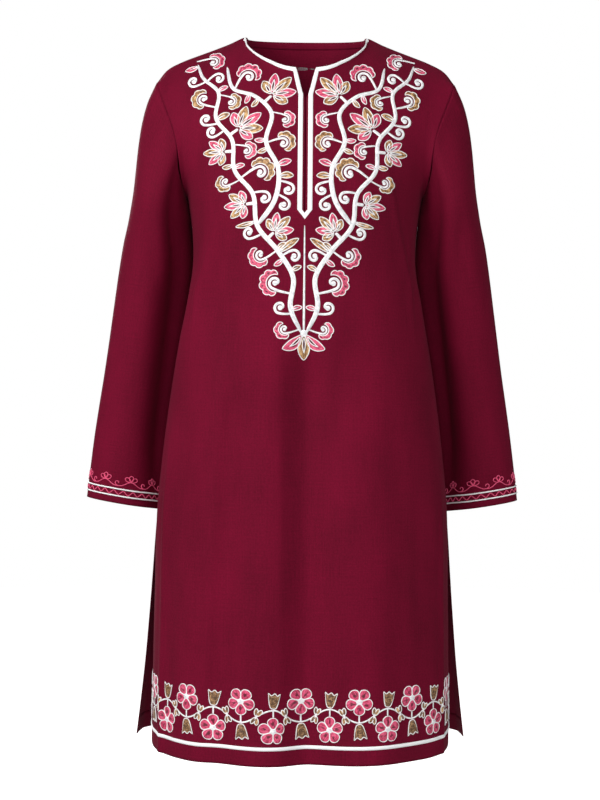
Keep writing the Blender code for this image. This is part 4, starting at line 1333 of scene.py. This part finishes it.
def flower(centre, turn):
    """Five round petals about a white eye."""
    shapes = []
    for petal in range(PETALS):
        way = np.exp(1j * math.radians(turn + 360 / PETALS * petal))
        shapes += leaf("rose", centre + 1.5 * way, centre + FLOWER_REACH * way, PETAL_WIDTH, 0, 1.0)
    return shapes + [disc("white", centre, FLOWER_EYE, lift=0.6)]


def bud(base, tip, width):
    """A closed flower from base to mouth: a cup with a wavy mouth and two pale curls."""
    way = tip - base
    side = 1j * way / abs(way) * width / 2
    s = np.linspace(-1, 1, 33)
    mouth = 0.92 + 0.07 * np.cos(2 * math.pi * s)
    cup = 0.99 * np.abs(s) ** 3.6
    made = [Shape("brown", base + way * mouth + side * s, base + way * cup + side * s * 0.94, 3, 0)]
    t = np.linspace(0, 1, 10)
    half = 0.55 * np.sin(math.pi * t) + 0.05
    for hand in (-1, 1):
        pale = base + way * (0.25 + 0.45 * t) + side * hand * (0.12 + 0.45 * np.sin(math.pi * 0.8 * t))
        made.append(ribbon("gold", pale, half, half, lift=1))
    return made


def hem_vine(x):
    """Where the white vine runs."""
    return x + 1j * (HEM_VINE_UP - HEM_VINE_WAVE * np.cos(2 * math.pi * x / HEM_PERIOD))


def hem_repeat():
    """One repeat, about the middle of its upper flower."""
    half = HEM_PERIOD / 2
    shapes = flower(0j, -18) + flower(complex(half, HEM_LOWER), 18)
    x = np.linspace(-half / 2, HEM_PERIOD - half / 2, 60)
    shapes.append(ribbon("white", hem_vine(x), STEM_WIDTH / 2, STEM_WIDTH / 2))
    for place, up_or_down in ((0, 1), (half, -1)):
        start = hem_vine(place)
        shapes += stem((start, start + 1j * up_or_down * STALK_LONG), STEM_WIDTH, STEM_WIDTH)
        base = start - 1j * up_or_down * BUD_BACK
        shapes += bud(base, base + BUD_LEAN - 1j * up_or_down * BUD_LONG, BUD_WIDTH)
    for place, turn_over in ((half / 2, 1), (half * 1.5, -1)):
        base = hem_vine(place)
        for count, turn in enumerate(HEM_LEAF_TURNS):
            step = HEM_LEAF * np.exp(1j * math.radians(turn))
            shapes += leaf(("gold", "brown")[count % 2], base, base + turn_over * step.real + 1j * step.imag,
                           HEM_LEAF_WIDTH, 0, 0.35)
    return shapes


def draw_border(edge):
    """All the repeats that fit between the two side slits."""
    shapes = []
    for repeat in range(-HEM_REPEATS, HEM_REPEATS + 1):
        for shape in hem_repeat():
            moved = []
            for line in (shape.left, shape.right):
                drawn = line + repeat * HEM_PERIOD
                rise = SIDE_RISE * np.minimum(1, (drawn.real / SIDE_FROM) ** 2)
                moved.append(drawn + 1j * (FLOWER_UP + rise))
            if max(np.abs(line.real).max() for line in moved) < edge - SIDE_MARGIN:
                shapes.append(shape._replace(left=moved[0], right=moved[1]))
    return shapes


def onto_grid(grid, rows, columns, out):
    """Points and normals of a grid at fractional rows and columns."""
    r = np.clip(rows.astype(int), 0, grid.shape[0] - 2)
    c = np.clip(columns.astype(int), 0, grid.shape[1] - 2)
    fr, fc = (rows - r)[:, None], (columns - c)[:, None]

    def mixed(values):
        low = values[r, c] * (1 - fc) + values[r, c + 1] * fc
        high = values[r + 1, c] * (1 - fc) + values[r + 1, c + 1] * fc
        return low * (1 - fr) + high * fr

    return mixed(grid), unit(mixed(out))


def onto_panel(grid, across, facing):
    """A function that lays (along the hem, above the hem) places on a panel's lower part."""
    levels = grid[:, FINE_COLUMNS, 2]
    out = outward_of(grid) * facing

    def laid(plan):
        rows = np.interp(HEM_Z + plan.imag / 1000, levels, np.arange(len(levels)))
        columns = np.array([np.interp(place / 1000, across[int(row)], np.arange(across.shape[1]))
                            for place, row in zip(plan.real, rows)])
        return onto_grid(grid, rows, columns, out)

    return laid


onto_hem = onto_panel(front_grid, front_across, 1.0)
embroider("hem", draw_border(front_across[0, -1] * 1000), onto_hem, HEM_CORD_RADIUS)

# %% [markdown]
# ## The cuffs
# Round each cuff run two white cords with a pink zigzag between them. Above stands a pink vine that
# rises in scallops to a flower of three loops, with a small curl between one flower and the next.

# %% Work the cuffs
CUFF_CORDS_UP, CUFF_CORD_RADIUS = (10.5, 20.0), 0.00108
ZIGZAGS, ZIGZAG_UP, ZIGZAG_HALF = 25, 15.2, 2.9
PINK_RADIUS = 0.00062
VINE_REPEATS, VINE_PERIOD = 9, 32.0
VINE_LOW, VINE_RISE = 24.5, 6.5
LOOP_REACH, LOOP_TURNS = 8.8, (38, 90, 142)
CURL_PLACE, CURL_OUT, CURL_IN = complex(16, 28.6), 3.6, 1.2
LOOP_WIDTH = 5.2


def onto_sleeve(hand):
    """(a function that lays (round, above the cuff) places on a sleeve, the cuff's girth in mm)."""
    grid = sleeve_grids[hand][::-1]
    out = outward_of(grid) * (1.0 if hand == "left" else -1.0)
    out[:, 0] = out[:, -1] = unit(out[:, 0] + out[:, -1])
    up = np.r_[0, np.cumsum(np.linalg.norm(np.diff(grid, axis=0), axis=2).mean(axis=1))] * 1000
    girth = np.linalg.norm(np.diff(grid[4], axis=0), axis=1).sum() * 1000

    def laid(plan):
        rows = np.interp(plan.imag, up, np.arange(len(up)))
        return onto_grid(grid, rows, (plan.real / girth % 1.0) * FINE_AROUND, out)

    return laid, girth


def vine_motif():
    """One scallop of the vine, its curl and its loops, as flat places with whether each closes."""
    x = np.linspace(0, VINE_PERIOD, 24)
    scallop = x + 1j * (VINE_LOW + VINE_RISE * np.abs(np.cos(math.pi * x / VINE_PERIOD)) ** 3)
    swirl = np.linspace(0, 1, 14)
    turning = np.exp(1j * (2 * math.pi * 0.8 * swirl - math.pi / 2))
    lines = [(CURL_PLACE + (CURL_OUT + (CURL_IN - CURL_OUT) * swirl) * turning, False)]
    top = 1j * (VINE_LOW + VINE_RISE)
    for lean in LOOP_TURNS:
        tip = top + LOOP_REACH * np.exp(1j * math.radians(lean))
        lines.append((leaf("pink", top, tip, LOOP_WIDTH, 0, 0.9)[0], True))
    return scallop, lines


def cuff_lines(girth):
    """(pink lines, white lines) of a cuff, as flat places with whether each closes."""
    turn = np.linspace(0, 1, ZIGZAGS * 10, endpoint=False)
    swing = 2 / math.pi * np.arcsin(0.96 * np.sin(2 * math.pi * ZIGZAGS * turn)) * ZIGZAG_HALF * 1.15
    pink, vine = [(turn * girth + 1j * (ZIGZAG_UP + swing), True)], []
    stretch = girth / VINE_REPEATS / VINE_PERIOD
    scallop, lines = vine_motif()
    for repeat in range(VINE_REPEATS):
        start = repeat * VINE_PERIOD

        def placed(line):
            return (line.real + start) * stretch + 1j * line.imag

        vine.append(placed(scallop)[:-1])
        for line, closed in lines:
            pink.append((placed(outline(line) if closed else line), closed))
    pink.append((np.concatenate(vine), True))
    return pink, [(turn * girth + 1j * up, True) for up in CUFF_CORDS_UP]


def work_cuff(hand):
    """All the cords of one cuff."""
    laid, girth = onto_sleeve(hand)
    for label, lines, radius, finish in zip(("vine", "cords"), cuff_lines(girth),
                                            (PINK_RADIUS, CUFF_CORD_RADIUS), (pink_cord, white_cord)):
        tubes = []
        for line, closed in lines:
            place, normal = laid(line)
            tubes.append((place + normal * radius * 0.45, closed))
        cords(f"cuff_{hand}_{label}", tubes, radius, finish, "white_braid")
    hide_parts(f"cuff_cord_{hand}_low", f"cuff_cord_{hand}_high")


for hand in sleeve_grids:
    work_cuff(hand)
print("cuffs worked")

# %% [markdown]
# ## Braid, facing and hem
# Flat white braid binds the neckline and the slit in one length, and crosses the front above the hem.
# It is a strip with rounded edges that lies on the cloth. Inside the back, a narrow facing follows the
# neckline, and the hem is turned up once.

# %% Lay the braid
BRAID_WIDTH, BRAID_INSET, BRAID_RISE = 0.006, 0.0034, 0.0011
BRIM_IN, SHOULDER_SPREAD = 0.0005, 0.5
HEM_BRAID_UP, HEM_BRAID_WIDTH = 22.0, 4.6
BRAID_LIFT, SLIT_EDGE, SLIT_LEVELS = 0.0002, 0.0004, (-0.070, -0.082)


def woven_braid(name):
    """White braid: small slanting ribs, from the strip's own UV."""
    finish, tree, shader = new_finish(name, (0.92, 0.92, 0.93, 1), roughness=0.6, specular_ior_level=0.3,
                                      sheen_weight=0.1)
    uv = add(tree, "ShaderNodeUVMap", uv_map="thread").outputs[0]
    parts = add(tree, "ShaderNodeSeparateXYZ", {0: uv})
    lean = reckon(tree, "ABSOLUTE", parts.outputs[1])
    phase = reckon(tree, "DIVIDE", reckon(tree, "ADD", parts.outputs[0], lean), 0.0012)
    ribs = reckon(tree, "SINE", reckon(tree, "MULTIPLY", phase, 2 * math.pi))
    bump = add(tree, "ShaderNodeBump", {"Height": ribs, "Distance": 0.00014, "Strength": 0.5})
    tree.links.new(bump.outputs[0], shader.inputs["Normal"])
    return finish


white_braid = woven_braid("white braid")


def strip(name, inner, outer, normals, rise, finish, node):
    """A low rounded strip between two lines of points."""
    v = np.linspace(0, 1, 7)
    height = rise * (1 - np.abs(2 * v - 1) ** 3)
    points = inner[:, None] * (1 - v)[:, None] + outer[:, None] * v[:, None]
    points = points + normals[:, None] * height[None, :, None]
    run = run_of((inner + outer) / 2)
    uv = np.stack(np.broadcast_arrays(run[:, None], (v - 0.5) * BRAID_WIDTH), axis=-1)
    facing = np.cross(points[1, 0] - points[0, 0], points[0, -1] - points[0, 0]) @ normals[0]
    mesh = grid_mesh(name, (points,), (uv,), flip=facing > 0, label="thread")
    return show(name, mesh, finish, node)


def neckline_edges():
    """Inner and outer braid edges and normals along the right half of the neckline."""
    right = halves(front_grid, "front")[1]
    out = outward_of(right)
    inner, outer, normals = [], [], []
    last = int(FINE_COLUMNS * NECK_COLUMNS / COLUMNS)
    for column in range(last, 3, -1):
        wide = BRAID_WIDTH * (1 + SHOULDER_SPREAD * column / last)
        line = right[::-1, column]
        run = run_of(line)
        for found, at in ((inner, BRIM_IN), (outer, BRIM_IN + wide)):
            found.append([np.interp(at, run, line[:, axis]) for axis in range(3)])
        normals.append(out[-2, column])
    return np.array(inner), np.array(outer), np.array(normals)


def slit_edges():
    """The same down the right side of the slit to the point of the braid."""
    top = -NECK_DROP
    near = [complex(SLIT_HALF_TOP + SLIT_EDGE, top + BRAID_LIFT)]
    far = [complex(SLIT_HALF_TOP + BRAID_WIDTH * 0.75, top - BRAID_WIDTH)]
    for z in SLIT_LEVELS:
        near.append(complex(float(slit_half(z)) + SLIT_EDGE, z))
        far.append(complex(float(slit_half(z)) + BRAID_WIDTH, z - 0.001))
    for z in np.linspace(SLIT_KNEE_Z, SLIT_END_Z + 0.006, 40):
        near.append(complex(BRAID_INSET, z))
        far.append(complex(BRAID_INSET + BRAID_WIDTH, z))
    near.append(complex(0.0, SLIT_END_Z + 0.0025))
    far.append(complex(0.0, SLIT_END_Z - BRAID_WIDTH))
    (inner, _), (outer, normals) = onto_front(np.array(near) * 1000), onto_front(np.array(far) * 1000)
    return inner, outer, normals


def mirror_points(points):
    """Points on the other side of the middle, in the opposite order."""
    return points[::-1] * np.array([-1.0, 1.0, 1.0])


def lay_neck_braid():
    """One length of braid from shoulder to shoulder by way of the slit's point."""
    lines = [np.concatenate(pair) for pair in zip(neckline_edges(), slit_edges())]
    inner, outer, normals = (np.concatenate([line, mirror_points(line)[1:]]) for line in lines)
    lift = normals * BRAID_LIFT
    return strip("neck_binding", inner + lift, outer + lift, normals, BRAID_RISE, white_braid,
                 "neck_braid")


def lay_hem_braid():
    """Braid across the front above the hem."""
    edge = front_across[0, -1] * 1000 - 0.5
    places = np.linspace(-edge, edge, 180)
    lines = [onto_hem(places + 1j * (HEM_BRAID_UP + side * HEM_BRAID_WIDTH / 2)) for side in (-1, 1)]
    lift = lines[0][1] * BRAID_LIFT
    return strip("hem_binding", lines[0][0] + lift, lines[1][0] + lift, lines[0][1], BRAID_RISE, white_braid,
                 "hem_braid")


lay_neck_braid()
lay_hem_braid()

# %% Turn in the back
FACING_DEPTH, TURN_UP, INSIDE = 0.011, 0.022, 0.0010


def inner_strip(name, rows, columns, node):
    """A strip of cloth a little way inside the back panel, over some of its rows and columns."""
    out = -outward_of(back_grid)
    part = (back_grid - out * INSIDE)[rows, columns]
    uv = panel_uv(back_grid, back_across)[rows, columns]
    mesh = grid_mesh(name, (part,), (uv,), flip=False)
    return show(name, mesh, maroon_cloth, node, CLOTH * 0.8)


row_step = np.linalg.norm(np.diff(back_grid[:, FINE_COLUMNS], axis=0), axis=1).mean()
neck_reach = int(FINE_COLUMNS * NECK_COLUMNS / COLUMNS) - 1
inner_strip("neck_facing", slice(-2 - round(FACING_DEPTH / row_step), -1),
            slice(FINE_COLUMNS - neck_reach, FINE_COLUMNS + neck_reach + 1), "back_neck_facing")
inner_strip("hem_turned_up", slice(0, 1 + round(TURN_UP / row_step)), slice(1, -1), "back_hem_turn_up")

# %% [markdown]
# ## Hook and eye
# A bent wire closes the top of the slit. It is the solid model's own, in bright steel.

# %% Polish the hook and eye
steel = new_finish("bright steel", (0.62, 0.62, 0.64, 1), roughness=0.25, metallic=1.0)[0]
for node in ("neck_hook", "neck_eye"):
    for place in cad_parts[node].material_slots:
        place.material = steel
print("hook and eye polished")
